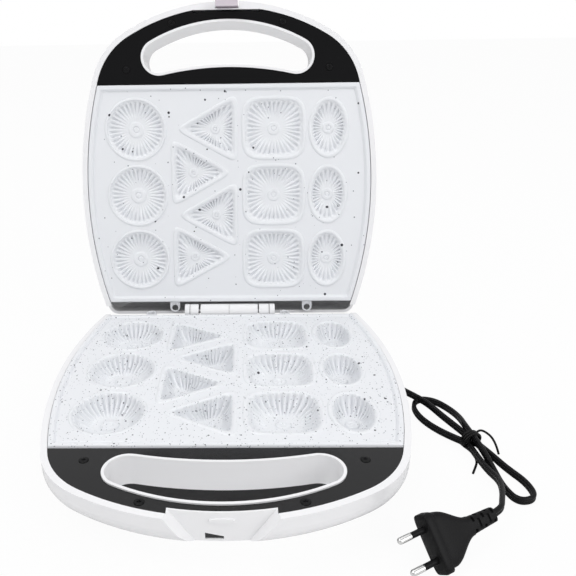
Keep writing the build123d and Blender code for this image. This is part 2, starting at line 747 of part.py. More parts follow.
def sheet(z0):
    solid = slab(SHEET_INSET, z0, z0 + SHEET_THICK, SHEET_REAR_V, SHEET_FRONT_V)
    for x in (-HEATER_X, HEATER_X):
        solid = solid - rod(x, HEATER_REAR_V + 2, z0 - 1, z0 + 2, PIN_RADIUS + 1.2)
    return solid


def lid_heater_height():
    return heater_height(LID_PLATE_TOP, LID_CAVITY_DEPTH)


def lid_sheet_top():
    return lid_heater_height() + HEATER_DIAMETER / 2 + SEAT_GAP + SHEET_THICK


def base_heater_height():
    return -heater_height(-BASE_PLATE_TOP, BASE_CAVITY_DEPTH)


def make_lid_sheet():
    return sheet(lid_sheet_top() - SHEET_THICK)


def make_thermostat():
    top = BASE_PLATE_TOP - PLATE_THICK - 0.1
    body = rod(THERMOSTAT_X, ROW_MIDDLE_V, top - THERMOSTAT_HEIGHT, top, THERMOSTAT_RADIUS)
    low = top - THERMOSTAT_HEIGHT - 3
    for v in (ROW_MIDDLE_V - 3.5, ROW_MIDDLE_V + 3.5):
        body = body + block(THERMOSTAT_X - 1.5, THERMOSTAT_X + 1.5, v - 0.4, v + 0.4, low, top - 4)
    return body


def make_fuse():
    z = BASE_PLATE_TOP - PLATE_THICK - 0.1 - FUSE_RADIUS
    place = Pos(-THERMOSTAT_X - 1, -ROW_MIDDLE_V, z) * Rot(90, 0, 0)
    return place * (Cylinder(FUSE_RADIUS, FUSE_LENGTH) + Cylinder(0.6, FUSE_LENGTH + 12))


def block_top():
    return COVER_FLOOR + COVER_WALL + BLOCK_SIZE[2]


def make_terminal_block():
    length, width, height = BLOCK_SIZE
    floor = COVER_FLOOR + COVER_WALL
    ends = (BLOCK_X - length / 2, BLOCK_X + length / 2)
    sides = (BLOCK_V - width / 2, BLOCK_V + width / 2)
    body = block(*ends, *sides, floor, floor + height)
    for step in (-6, 0, 6):
        body = body - rod(BLOCK_X + step, BLOCK_V + 3, floor + height - 3, floor + height + 1, 1.8)
    return body


def make_heater_leads():
    low = base_heater_height() - PIN_LENGTH
    leads = []
    for side, step in ((-1, -6), (1, 6)):
        x = side * HEATER_X
        start = spot(BLOCK_X + step, BLOCK_V - 3, block_top())
        mid = (block_top() + low) / 2 - 0.5
        corners = [
            start,
            spot(BLOCK_X + step, BLOCK_V - 3, mid),
            spot(x, HEATER_REAR_V + 2, mid),
            spot(x, HEATER_REAR_V + 2, low),
        ]
        path = FilletPolyline(*corners, radius=1.6)
        leads.append(sweep(Plane(path @ 0, z_dir=path % 0) * Circle(LEAD_RADIUS), path=path))
    return leads


# The clip hangs on its pin in the lid, swung slightly out so that it clears the nub
def make_clip():
    bottom = -CLIP_DROP
    lever = block(-CLIP_HALF, CLIP_HALF, CLIP_V, CLIP_V + CLIP_THICK, bottom, CLIP_PIVOT_RISE)
    barrel = latch_rod(CLIP_HALF, CLIP_BARREL)
    hook = block(-CLIP_HALF, CLIP_HALF, HOOK_V, CLIP_V, bottom, bottom + HOOK_HEIGHT)
    grip = block(-CLIP_HALF, CLIP_HALF, CLIP_V + CLIP_THICK, CLIP_V + CLIP_THICK + 1.8, bottom, bottom + 2)
    solid = lever + barrel + hook + grip
    solid = fillet(solid.edges().filter_by(Axis.Z), 0.6)
    solid = solid - latch_rod(HALF_WIDTH, LATCH_PIN_RADIUS + HINGE_PIN_CLEAR)
    pivot = Pos(0, -CLIP_PIVOT_V, CLIP_PIVOT_RISE)
    return pivot * Rot(-CLIP_REST, 0, 0) * pivot.inverse() * solid


def lenses():
    parts = []
    for x in (-LENS_X, LENS_X):
        lens = rod(x, LENS_V, LID_ROOF - SHELL_WALL, LID_ROOF + LENS_STAND, LENS_RADIUS)
        parts.append(fillet(lens.edges().sort_by(Axis.Z)[-1], 0.8))
    return parts


def make_lamp_holder():
    top = LID_ROOF - SHELL_WALL
    return block(-LENS_X - 6, LENS_X + 6, LENS_V - 6, LENS_V + 6, top - 7, top)


# Cord: straight runs joined by arcs, kept in one route and cut into its nodes
def table_point(point):
    return Vector(point[0], point[1], TABLE + point[2])


# The plug leans on the long edge of its collar
def plug_frame():
    turn = Rot(0, 0, PLUG_HEADING) * Rot(0, PLUG_PITCH, 0) * Rot(PLUG_ROLL, 0, 0)
    return Pos(PLUG_FACE[0], PLUG_FACE[1], TABLE + PLUG_HEIGHT) * turn


def plug_point(along):
    return (plug_frame() * Pos(along, 0, 0)).position


def gland_end():
    return Vector(GLAND_X, -REAR_V - COVER_INSET + GLAND_LENGTH, TABLE + GLAND_HEIGHT)


def cord_route():
    middle = [table_point(point) for point in LEAD_POINTS + HANK_POINTS + TAIL_POINTS]
    relief = PLUG_BODY_LENGTH + RELIEF_LENGTH
    return [gland_end()] + middle + [plug_point(relief + PLUG_LEAD_IN), plug_point(relief)]


def bend_radii(route):
    radii = []
    for before, here, after in zip(route, route[1:], route[2:]):
        turn = (here - before).get_angle(after - here)
        run = min((here - before).length, (after - here).length)
        radii.append(0.45 * run / math.tan(math.radians(turn / 2)))
    return radii


def cord_wire(points, radii):
    return FilletPolyline(*points, radius=radii)


def cord_tube(wire):
    tube = sweep(Plane(wire @ 0, z_dir=wire % 0) * Circle(CORD_DIAMETER / 2), path=wire)
    expected = math.pi * CORD_DIAMETER**2 / 4 * wire.length
    print("cord tube length", round(wire.length, 1), "volume ratio", round(tube.volume / expected, 4))
    return tube


def cord_nodes():
    route = cord_route()
    radii = bend_radii(route)
    print("cord radii", [round(radius, 1) for radius in radii])
    first = len(LEAD_POINTS)
    second = first + len(HANK_POINTS)
    cut_a = (route[first] + route[first + 1]) / 2
    cut_b = (route[second] + route[second + 1]) / 2
    lead = cord_wire(route[: first + 1] + [cut_a], radii[:first])
    hank = cord_wire([cut_a] + route[first + 1 : second + 1] + [cut_b], radii[first:second])
    tail = cord_wire([cut_b] + route[second + 1 :], radii[second:])
    print("cord length", round(lead.length + hank.length + tail.length, 1))
    print("hank self gap", round(self_gap(hank), 2))
    return cord_tube(lead), cord_tube(hank), cord_tube(tail)


def self_gap(wire):
    count = int(wire.length / 2)
    points = [wire @ (step / count) for step in range(count + 1)]
    skip = int(3 * CORD_DIAMETER / (wire.length / count)) + 1
    least = min(
        (points[i] - points[j]).length
        for i in range(count + 1)
        for j in range(i + skip, count + 1)
    )
    return least - CORD_DIAMETER


def make_gland():
    wall_y = -REAR_V - COVER_INSET
    z = TABLE + GLAND_HEIGHT
    wide, slim = GLAND_RADII
    turn = Rot(-90, 0, 0)
    body = Pos(GLAND_X, wall_y + GLAND_LENGTH / 2, z) * turn * Cone(wide, slim, GLAND_LENGTH)
    neck = Pos(GLAND_X, wall_y - COVER_WALL / 2, z) * turn * Cylinder(wide, COVER_WALL + 0.4)
    flange = Pos(GLAND_X, wall_y - COVER_WALL - 1.2, z) * turn * Cylinder(wide + 1.6, 2)
    return body + neck + flange


def make_plug_body():
    half = PLUG_WIDTH / 2
    shoulder = PLUG_BODY_LENGTH
    neck = NECK_WIDTH / 2
    edges = [
        Line((COLLAR_LENGTH - 1, half - 1.5), (COLLAR_LENGTH + 4, half - 1.5)),
        Spline(
            (COLLAR_LENGTH + 4, half - 1.5),
            (COLLAR_LENGTH + 13, half - 6.5),
            (shoulder, neck),
            tangents=[(1, 0), (1, -0.05)],
        ),
        Line((shoulder, neck), (shoulder, 0)),
        Line((shoulder, 0), (COLLAR_LENGTH - 1, 0)),
        Line((COLLAR_LENGTH - 1, 0), (COLLAR_LENGTH - 1, half - 1.5)),
    ]
    side = extrude(make_face(edges), PLUG_THICK / 2 - 0.8, both=True)
    body = side + side.mirror(Plane.XZ)
    collar = Pos(COLLAR_LENGTH / 2, 0, 0) * Box(COLLAR_LENGTH, PLUG_WIDTH, PLUG_THICK)
    collar = fillet(collar.edges().filter_by(Axis.X), 4.5)
    body = body + collar
    relief = Pos(shoulder + RELIEF_LENGTH / 2, 0, 0) * Rot(0, 90, 0)
    relief = relief * Cylinder(RELIEF_THICK / 2, RELIEF_LENGTH)
    wings = Pos(shoulder + RELIEF_LENGTH / 2, 0, 0) * Box(RELIEF_LENGTH, NECK_WIDTH - 2, RELIEF_THICK - 2)
    body = body + relief + wings
    for side_sign in (-1, 1):
        hole = Pos(1, side_sign * PLUG_PIN_SPACING / 2, 0) * Rot(0, 90, 0)
        body = body - hole * Cylinder(PIN_NECK_RADIUS + 0.02, 8)
    return plug_frame() * body


def plug_pins():
    pins = []
    free = PLUG_PIN_LENGTH - PIN_NECK_LENGTH
    for side_sign in (-1, 1):
        middle = Pos(0, side_sign * PLUG_PIN_SPACING / 2, 0)
        pin = middle * Pos(-PIN_NECK_LENGTH - free / 2, 0, 0) * Rot(0, 90, 0)
        pin = pin * Cylinder(PLUG_PIN_RADIUS, free)
        pin = fillet(pin.edges().sort_by(Axis.X)[0], PIN_TIP_ROUND)
        root = middle * Pos((PIN_ROOT - PIN_NECK_LENGTH) / 2, 0, 0) * Rot(0, 90, 0)
        root = root * Cylinder(PIN_NECK_RADIUS, PIN_ROOT + PIN_NECK_LENGTH)
        pins.append(plug_frame() * (pin + root))
    return pins


def make_tie():
    centre = table_point(TIE_CENTRE)
    frame = Pos(centre.X, centre.Y, centre.Z) * Rot(0, 0, TIE_HEADING + 90) * Rot(90, 0, 0)
    wide, high = TIE_BORE
    ring = Ellipse(wide + TIE_WALL, high + TIE_WALL) - Ellipse(wide, high)
    band = frame * extrude(ring, TIE_WIDTH / 2, both=True)
    wire = FilletPolyline(*[table_point(point) for point in WIRE_POINTS], radius=3)
    loose = sweep(Plane(wire @ 0, z_dir=wire % 0) * Circle(WIRE_RADIUS), path=wire)
    return band + loose


def open_lid(shape):
    return Rot(-LID_OPEN, 0, 0) * shape


def collect():
    lead, hank, tail = cord_nodes()
    base = {
        "base_shell": make_base_shell(),
        "base_bottom_cover": make_base_cover(),
        "base_handle_panel": panel(RECESS_TOP_HALF, RECESS_V - RECESS_SKIN).mirror(Plane.XY),
        "base_plate": make_base_plate(),
        "base_heater": heater(-base_heater_height()).mirror(Plane.XY),
        "base_reflector": sheet(-(BASE_FLOOR + SHELL_WALL) - SHEET_THICK).mirror(Plane.XY),
        "base_thermostat": make_thermostat(),
        "thermal_fuse": make_fuse(),
        "terminal_block": make_terminal_block(),
        "heater_leads": Compound(make_heater_leads()),
        "base_panel_screws": Compound(panel_screws()).mirror(Plane.XY),
        "cover_screws": Compound(cover_screws()),
        "rubber_feet": Compound(feet()),
        "hinge_pin": cross_rod(BASE_LUGS[0][0], BASE_LUGS[1][1], 0, 0, HINGE_PIN_RADIUS),
    }
    lid = {
        "lid_shell": make_lid_shell(),
        "lid_handle_panel": panel(BLOCK_HALF, LATCH_BLOCK_V),
        "lid_plate": make_lid_plate(),
        "lid_heater": heater(lid_heater_height()),
        "lid_reflector": make_lid_sheet(),
        "lid_panel_screws": Compound(panel_screws()),
        "indicator_lenses": Compound(lenses()),
        "lamp_holder": make_lamp_holder(),
        "latch_pin": latch_rod(LATCH_PIN_HALF, LATCH_PIN_RADIUS),
        "latch_clip": make_clip(),
    }
    cord = {
        "cord_gland": make_gland(),
        "cord_lead": lead,
        "cord_hank": hank,
        "cord_tail": tail,
        "cord_tie": make_tie(),
        "plug_body": make_plug_body(),
        "plug_pins": Compound(plug_pins()),
    }
    base.update({name: open_lid(shape) for name, shape in lid.items()})
    return base, cord


# The origin is on the table under the middle of the open part, cord left out
def main():
    body, cord = collect()
    boxes = [shape.bounding_box() for shape in body.values()]
    middle_y = (min(box.min.Y for box in boxes) + max(box.max.Y for box in boxes)) / 2
    stand = Pos(0, -middle_y, -TABLE)
    pivot = (Rot(-LID_OPEN, 0, 0) * Pos(0, -CLIP_PIVOT_V, CLIP_PIVOT_RISE)).position
    print("hinge axis at y", round(-middle_y, 3), "z", round(-TABLE, 3))
    print("latch axis at", round(pivot.Y - middle_y, 3), round(pivot.Z - TABLE, 3))
    os.makedirs("parts", exist_ok=True)
    for name, shape in {**body, **cord}.items():
        export_step(stand * shape, f"parts/{name}.step")


main()
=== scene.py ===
import json
import math

import bpy
import numpy as np
from mathutils import Matrix, Vector
from mathutils.geometry import delaunay_2d_cdt


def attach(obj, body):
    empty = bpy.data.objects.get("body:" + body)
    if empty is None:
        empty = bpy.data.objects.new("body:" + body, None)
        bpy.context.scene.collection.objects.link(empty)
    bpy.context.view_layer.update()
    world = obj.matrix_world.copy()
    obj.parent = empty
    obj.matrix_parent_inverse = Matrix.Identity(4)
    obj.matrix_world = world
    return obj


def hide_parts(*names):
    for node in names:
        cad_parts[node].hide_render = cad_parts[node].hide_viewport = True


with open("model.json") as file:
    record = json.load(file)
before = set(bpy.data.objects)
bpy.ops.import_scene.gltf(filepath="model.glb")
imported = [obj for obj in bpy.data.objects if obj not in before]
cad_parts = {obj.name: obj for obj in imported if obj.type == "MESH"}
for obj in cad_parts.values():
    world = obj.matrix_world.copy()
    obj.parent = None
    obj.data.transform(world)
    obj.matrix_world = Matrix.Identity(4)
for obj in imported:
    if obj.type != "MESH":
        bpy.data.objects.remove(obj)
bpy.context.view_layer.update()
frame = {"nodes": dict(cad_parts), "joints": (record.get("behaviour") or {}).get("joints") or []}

# Sizes are in millimetres, with the hinge axis at height 0 and depth V measured forward from it.
MM = 0.001
JOINTS = {joint["name"]: joint for joint in frame["joints"]}
HINGE = Vector(JOINTS["lid_hinge"]["pos_m"])
LID_OPEN = math.radians(JOINTS["lid_hinge"]["range_deg"][1])
BASE_FRAME = Matrix.Translation(HINGE) @ Matrix.Scale(MM, 4)
LID_FRAME = Matrix.Translation(HINGE) @ Matrix.Rotation(-LID_OPEN, 4, "X") @ Matrix.Scale(MM, 4)
TABLE_FRAME = Matrix.Translation((0, HINGE.y, 0)) @ Matrix.Scale(MM, 4)
SCENE = bpy.context.scene


# Camera, with its place in metres, its lens and sensor in millimetres
CAMERA_PLACE = (0.01445, -0.460434, 0.30801)
CAMERA_RIGHT = (0.99979, 0.01469, -0.01444)
CAMERA_UP = (0.00742, 0.39702, 0.91778)
CAMERA_BACK = (0.01922, -0.91769, 0.39682)
CAMERA_LENS = 40.709
CAMERA_SHIFT = 0.09505
CAMERA_SENSOR = 36.0
CAMERA_CLIP = (0.01, 20.0)


def make_camera():
    data = bpy.data.cameras.new("camera")
    data.lens = CAMERA_LENS
    data.sensor_width = CAMERA_SENSOR
    data.shift_x = CAMERA_SHIFT
    data.clip_start, data.clip_end = CAMERA_CLIP
    camera = bpy.data.objects.new("camera", data)
    SCENE.collection.objects.link(camera)
    turn = Matrix((CAMERA_RIGHT, CAMERA_UP, CAMERA_BACK)).transposed()
    camera.matrix_world = Matrix.Translation(CAMERA_PLACE) @ turn.to_4x4()
    SCENE.camera = camera


# Materials. Scales are per metre and depths of bumps are in metres.
SLOW_SCALE = 18.0
RICH_DETAIL = 3.0
DOT_LEAST = 0.35
DOT_SOFT = 0.12
COATING_COLOUR = (0.80, 0.815, 0.84)
COATING_ROUGHNESS = 0.36
COATING_COAT = 0.25
COATING_COAT_ROUGHNESS = 0.22
COATING_GRAIN = 700.0
COATING_DEPTH = 0.00004
BRUSH_STRETCH = (1.0, 40.0, 1.0)
BRUSH_SCALE = 120.0
BRUSH_RANGE = (0.3, 0.7)
BRUSH_SMOOTHER = 0.08
BRUSH_ROUGHER = 0.1
PLASTIC_IOR = 1.45
PLASTIC_GRAIN = 500.0
FAINT_DEPTH = 0.00001


def principled(name, colour, roughness, metallic=0.0, coat=0.0, coat_roughness=0.05, shine=0.5):
    material = bpy.data.materials.new(name)
    material.use_nodes = True
    shader = material.node_tree.nodes["Principled BSDF"]
    shader.inputs["Base Color"].default_value = (*colour, 1.0)
    shader.inputs["Roughness"].default_value = roughness
    shader.inputs["Metallic"].default_value = metallic
    shader.inputs["Specular IOR Level"].default_value = shine
    shader.inputs["Coat Weight"].default_value = coat
    shader.inputs["Coat Roughness"].default_value = coat_roughness
    return material, shader


def add_node(material, kind, **settings):
    node = material.node_tree.nodes.new(kind)
    for key, value in settings.items():
        setattr(node, key, value)
    return node


def link(material, source, target):
    material.node_tree.links.new(source, target)


def object_place(material):
    return add_node(material, "ShaderNodeTexCoord").outputs["Object"]


def noise(material, scale, detail=2.0):
    node = add_node(material, "ShaderNodeTexNoise")
    node.inputs["Scale"].default_value = scale
    node.inputs["Detail"].default_value = detail
    link(material, object_place(material), node.inputs["Vector"])
    return node.outputs["Fac"]


def ranged(material, source, low, high, to_low, to_high):
    node = add_node(material, "ShaderNodeMapRange")
    node.inputs["From Min"].default_value = low
    node.inputs["From Max"].default_value = high
    node.inputs["To Min"].default_value = to_low
    node.inputs["To Max"].default_value = to_high
    link(material, source, node.inputs["Value"])
    return node.outputs["Result"]


def math_node(material, operation, first, second):
    node = add_node(material, "ShaderNodeMath", operation=operation)
    for socket, value in zip(node.inputs, (first, second)):
        if isinstance(value, (int, float)):
            socket.default_value = value
        else:
            link(material, value, socket)
    return node.outputs["Value"]


def add_bump(material, shader, source, distance):
    bump = add_node(material, "ShaderNodeBump")
    bump.inputs["Distance"].default_value = distance
    link(material, source, bump.inputs["Height"])
    link(material, bump.outputs["Normal"], shader.inputs["Normal"])


def moulded(
    name, colour, roughness, coat=0.0, grain=900.0, depth=0.00002, spread=0.08, shine=0.5
):
    material, shader = principled(name, colour, roughness, coat=coat, shine=shine)
    fine = noise(material, grain)
    slow = noise(material, SLOW_SCALE, RICH_DETAIL)
    varied = ranged(material, slow, 0.0, 1.0, roughness - spread, roughness + spread)
    link(material, varied, shader.inputs["Roughness"])
    add_bump(material, shader, fine, depth)
    return material


def mixed_colour(material, factor, first, second):
    node = add_node(material, "ShaderNodeMix", data_type="RGBA")
    for socket, value in ((node.inputs["A"], first), (node.inputs["B"], second)):
        if isinstance(value, tuple):
            socket.default_value = (*value, 1.0)
        else:
            link(material, value, socket)
    link(material, factor, node.inputs["Factor"])
    return node.outputs["Result"]


# One layer of speckles: random cells hold a dot whose size is random too
def speckles(material, cell_mm, radius_mm, share):
    cells = add_node(material, "ShaderNodeTexVoronoi")
    cells.inputs["Scale"].default_value = 1.0 / (cell_mm * MM)
    link(material, object_place(material), cells.inputs["Vector"])
    parts = add_node(material, "ShaderNodeSeparateColor")
    link(material, cells.outputs["Color"], parts.inputs["Color"])
    least = DOT_LEAST * radius_mm / cell_mm
    size = ranged(material, parts.outputs["Red"], 0.0, 1.0, least, radius_mm / cell_mm)
    near = math_node(material, "SUBTRACT", size, cells.outputs["Distance"])
    dot = ranged(material, near, 0.0, DOT_SOFT * radius_mm / cell_mm, 0.0, 1.0)
    chosen = math_node(material, "LESS_THAN", parts.outputs["Green"], share)
    return math_node(material, "MULTIPLY", dot, chosen)


def plate_coating(name, layers):
    material, shader = principled(
        name,
        COATING_COLOUR,
        COATING_ROUGHNESS,
        coat=COATING_COAT,
        coat_roughness=COATING_COAT_ROUGHNESS,
    )
    colour = COATING_COLOUR
    for cell_mm, radius_mm, share, dark in layers:
        dots = speckles(material, cell_mm, radius_mm, share)
        colour = mixed_colour(material, dots, colour, dark)
    link(material, colour, shader.inputs["Base Color"])
    add_bump(material, shader, noise(material, COATING_GRAIN, RICH_DETAIL), COATING_DEPTH)
    return material


def brushed(name, colour, roughness):
    material, shader = principled(name, colour, roughness, metallic=1.0)
    stretch = add_node(material, "ShaderNodeMapping")
    stretch.inputs["Scale"].default_value = BRUSH_STRETCH
    link(material, object_place(material), stretch.inputs["Vector"])
    streaks = add_node(material, "ShaderNodeTexNoise")
    streaks.inputs["Scale"].default_value = BRUSH_SCALE
    link(material, stretch.outputs["Vector"], streaks.inputs["Vector"])
    streak = streaks.outputs["Fac"]
    varied = ranged(
        material, streak, *BRUSH_RANGE, roughness - BRUSH_SMOOTHER, roughness + BRUSH_ROUGHER
    )
    link(material, varied, shader.inputs["Roughness"])
    add_bump(material, shader, streak, FAINT_DEPTH)
    return material


def clear_plastic(name, colour, transmission, roughness):
    material, shader = principled(name, colour, roughness)
    shader.inputs["Transmission Weight"].default_value = transmission
    shader.inputs["IOR"].default_value = PLASTIC_IOR
    add_bump(material, shader, noise(material, PLASTIC_GRAIN), FAINT_DEPTH)
    return material


GLOSS_WHITE = moulded("gloss_white", (0.86, 0.86, 0.87), 0.24, coat=0.35, spread=0.04)
PANEL_BLACK = moulded(
    "panel_black", (0.009, 0.009, 0.0095), 0.16,
    grain=600.0, depth=FAINT_DEPTH, spread=0.04, shine=0.4,
)
# Painted shade: the lid's panel is the same black plastic as the base's, given a darker colour
# and less shine so that it reflects less
LID_PANEL_SHADED_BLACK = moulded(
    "lid_panel_shaded_black", (0.004, 0.004, 0.0045), 0.2,
    grain=600.0, depth=FAINT_DEPTH, spread=0.04, shine=0.14,
)
COVER_BLACK = moulded("cover_black", (0.02, 0.02, 0.021), 0.55, grain=500.0, depth=0.0001)
CORD_BLACK = moulded(
    "cord_black", (0.005, 0.005, 0.0055), 0.4, grain=1200.0, depth=0.00003, shine=0.16
)
PLUG_BLACK = moulded(
    "plug_black", (0.006, 0.006, 0.0065), 0.44, grain=900.0, depth=0.00006, shine=0.14
)
TIE_BLACK = moulded("tie_black", (0.004, 0.004, 0.004), 0.38, shine=0.15)
FOOT_BLACK = moulded("foot_black", (0.015, 0.015, 0.015), 0.7, grain=400.0, depth=0.0001)
SCREW_BLACK = moulded("screw_black", (0.003, 0.003, 0.0035), 0.3, grain=800.0, shine=0.2)
NATURAL = moulded("natural_plastic", (0.72, 0.70, 0.62), 0.5)
LEAD_RED = moulded("lead_red", (0.45, 0.06, 0.04), 0.45)
STEEL = brushed("steel", (0.55, 0.55, 0.56), 0.38)
BRIGHT_SHEET = brushed("bright_sheet", (0.72, 0.73, 0.74), 0.3)
SHEATH = brushed("heater_sheath", (0.35, 0.34, 0.33), 0.5)
PIN_METAL = brushed("pin_metal", (0.75, 0.75, 0.74), 0.22)
LENS_RED = clear_plastic("lens_red", (0.6, 0.05, 0.03), 0.6, 0.12)
CLIP_PINK = clear_plastic("clip_pink", (0.84, 0.77, 0.83), 0.35, 0.22)
# Layers of speckles: size of a cell, largest dot, share of cells with a dot, colour
BASE_COATING = plate_coating(
    "base_coating",
    [
        (1.7, 0.44, 0.6, (0.20, 0.21, 0.24)),
        (3.6, 0.75, 0.7, (0.09, 0.09, 0.11)),
        (13.0, 1.3, 0.9, (0.02, 0.02, 0.03)),
    ],
)
LID_COATING = plate_coating(
    "lid_coating",
    [
        (6.0, 0.75, 0.6, (0.22, 0.23, 0.26)),
        (13.0, 1.5, 0.95, (0.02, 0.02, 0.03)),
    ],
)

NODE_MATERIALS = {
    "base_shell": GLOSS_WHITE,
    "base_bottom_cover": COVER_BLACK,
    "base_handle_panel": PANEL_BLACK,
    "base_heater": SHEATH,
    "base_reflector": BRIGHT_SHEET,
    "base_thermostat": STEEL,
    "thermal_fuse": STEEL,
    "terminal_block": NATURAL,
    "heater_leads": LEAD_RED,
    "base_panel_screws": SCREW_BLACK,
    "cover_screws": STEEL,
    "rubber_feet": FOOT_BLACK,
    "hinge_pin": STEEL,
    "lid_shell": GLOSS_WHITE,
    "lid_handle_panel": LID_PANEL_SHADED_BLACK,
    "lid_heater": SHEATH,
    "lid_reflector": BRIGHT_SHEET,
    "lid_panel_screws": SCREW_BLACK,
    "indicator_lenses": LENS_RED,
    "lamp_holder": NATURAL,
    "latch_pin": STEEL,
    "latch_clip": CLIP_PINK,
    "cord_gland": CORD_BLACK,
}


# A sharper turn between two faces than this shows as an edge
SMOOTH_ANGLE = math.radians(35)
PLATE_SMOOTH_ANGLE = math.radians(50)


def dress_nodes():
    for name, material in NODE_MATERIALS.items():
        node = frame["nodes"][name]
        node.data.materials.clear()
        node.data.materials.append(material)
        node.data.shade_smooth()
        node.data.set_sharp_from_angle(angle=SMOOTH_ANGLE)


# Meshes
def new_piece(name, points, faces, place, material, body, smooth=True):
    mesh = bpy.data.meshes.new(name)
    mesh.from_pydata([tuple(point) for point in points], [], [tuple(face) for face in faces])
    mesh.transform(place)
    mesh.validate()
    mesh.materials.append(material)
    if smooth:
        mesh.shade_smooth()
        mesh.set_sharp_from_angle(angle=SMOOTH_ANGLE)
    piece = bpy.data.objects.new(name, mesh)
    SCENE.collection.objects.link(piece)
    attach(piece, body)
    return piece


def ease(value):
    share = np.clip(value, 0.0, 1.0)
    return share * share * (3 - 2 * share)


# Faces between rings of a flat sheet, each ring within or round the one before
def sheet_faces(rings, count, first=0):
    faces = []
    for ring in range(rings - 1):
        low = first + ring * count
        for step in range(count):
            after = (step + 1) % count
            faces.append((low + step, low + count + step, low + count + after, low + after))
    return faces


# Faces between rings along a body, with both ends closed
def body_faces(rings, count):
    faces = []
    for ring in range(rings - 1):
        low = ring * count
        for step in range(count):
            after = (step + 1) % count
            faces.append((low + step, low + after, low + count + after, low + count + step))
    faces.append(tuple(reversed(range(count))))
    faces.append(tuple(range((rings - 1) * count, rings * count)))
    return faces


def joined(parts):
    points, faces = [], []
    for part_points, part_faces in parts:
        start = len(points)
        points += part_points
        faces += [tuple(start + index for index in face) for face in part_faces]
    return points, faces


# Plates. Their sizes are those of the fixed nodes that they stand for.
PLATE_REAR_V = 8.5
PLATE_FRONT_V = 203.5
PLATE_INSET = 4.85
LID_PLATE_TOP = 3.0
HALF_WIDTH = 132.2
SIDE_RADIUS = 353.7
WIDEST_V = 111.7
ROW_MIDDLE_V = 106.8
ROW_PITCH = 58.5
CIRCLE_X = -82.8
CIRCLE_HALF = 27.8
SQUARE_X = 40.3
SQUARE_HALF = (28.9, 27.9)
OVAL_X = 88.9
OVAL_HALF = (18.3, 26.7)
TRI_BOSS_X = (-11.8, -32.2)
TRI_COUNT = 4
TRI_FIRST_V = 165.3
TRI_PITCH = 38.3
TRI_BACK = 20.0
TRI_SIDE = 17.9
TRI_TILT = 118.8
SQUARE_SHARPNESS = 4
TRI_SHARPNESS = 5.5
FLUTE_INSETS = {
    "circle": 2.8, "square": 3.9, "oval": 3.9, "triangle_right": 4.0, "triangle_left": 4.0,
}
FLUTES = {"circle": 34, "square": 34, "oval": 28, "triangle_right": 30, "triangle_left": 30}
STEPS_PER_FLUTE = 6
BOSS_RADII = {
    "circle": 6.6, "square": 5.5, "oval": 5.0, "triangle_right": 3.9, "triangle_left": 3.9,
}
BOSS_EDGE = 0.92
BOSS_FALL = 0.16
DIMPLE_SHARE = 0.40
DIMPLE_HALF = 0.12
BOSS_RINGS = (0.2, 0.28, 0.34, 0.40, 0.46, 0.52, 0.60, 0.76, 0.92, 0.97, 1.02, 1.08, 1.16)
WALL_SHARES = (
    0.11, 0.22, 0.32, 0.42, 0.5, 0.58, 0.65, 0.71, 0.77,
    0.82, 0.86, 0.895, 0.925, 0.95, 0.97, 0.985, 1.0,
)
BAND_STEPS = (0.12, 0.28, 0.5, 0.73, 0.81, 0.88, 0.94, 1.0)
BAND_RISE = 0.3
BAND_FALL_START = 0.74
BAND_FALL = 0.22
EDGE_STEPS = (0.0, 0.15, 0.4, 0.8, 1.2, 2.4, 3.2, 3.6, 4.0, 4.4, 4.8, 5.2, 5.6, 6.0)
EDGE_ROUND = 0.9
SIDE_STEPS = 40
ROW_STEPS = 24
CHANNEL_INSET = 4.8
CHANNEL_HALF = 0.45
SKIRT = 3.0


def cavity_places():
    places = []
    for row in (1, 0, -1):
        v = ROW_MIDDLE_V + row * ROW_PITCH
        places += [("circle", CIRCLE_X, v), ("square", SQUARE_X, v), ("oval", OVAL_X, v)]
    for step in range(TRI_COUNT):
        kind = ("triangle_right", "triangle_left")[step % 2]
        places.append((kind, TRI_BOSS_X[step % 2], TRI_FIRST_V - step * TRI_PITCH))
    return places


def soft_polygon(angle, sides, sharpness):
    total = np.zeros_like(angle)
    for heading, distance in sides:
        reach = np.clip(np.cos(angle - math.radians(heading)), 0, None)
        total += (reach / distance) ** sharpness
    return total ** (-1 / sharpness)


def outline_radius(kind, angle, shrink):
    if kind == "circle":
        return np.full_like(angle, CIRCLE_HALF - shrink)
    if kind == "oval":
        wide, tall = (half - shrink for half in OVAL_HALF)
        return 1 / np.hypot(np.cos(angle) / wide, np.sin(angle) / tall)
    if kind == "square":
        wide, tall = (half - shrink for half in SQUARE_HALF)
        sides = [(0, wide), (90, tall), (180, wide), (270, tall)]
        return soft_polygon(angle, sides, SQUARE_SHARPNESS)
    turn = 0 if kind == "triangle_right" else 180
    side = TRI_SIDE - shrink
    sides = [(turn, TRI_BACK - shrink), (turn + TRI_TILT, side), (turn - TRI_TILT, side)]
    return soft_polygon(angle, sides, TRI_SHARPNESS)


# The relief of a plate. In floor, share runs from 0 at the middle of a cavity to 1 at its rim,
# and ridge from 0 in a groove to 1 on a rib. In boss, share is 1 at the boss's own radius.
class PlateStyle:
    def __init__(
        self, depth, band, boss_rise, dimple, lip, lip_width, lip_fall, channel, ridge_power
    ):
        self.depth = depth
        self.band = band
        self.boss_rise = boss_rise
        self.dimple = dimple
        self.lip = lip
        self.lip_width = lip_width
        self.lip_fall = lip_fall
        self.channel = channel
        self.ridge_power = ridge_power

    def floor(self, share, ridge):
        raise NotImplementedError

    def boss(self, share):
        step = self.boss_rise * (1 - ease((share - BOSS_EDGE) / BOSS_FALL))
        ring = self.dimple * (1 - ease(np.abs(share - DIMPLE_SHARE) / DIMPLE_HALF))
        return step - ring

    def edge(self, inset):
        fall = ease((inset - self.lip_width) / self.lip_fall)
        sunk = self.channel * math.exp(-(((inset - CHANNEL_INSET) / CHANNEL_HALF) ** 2))
        return self.lip * (1 - fall) - sunk - EDGE_ROUND * (1 - min(inset / EDGE_ROUND, 1.0)) ** 2


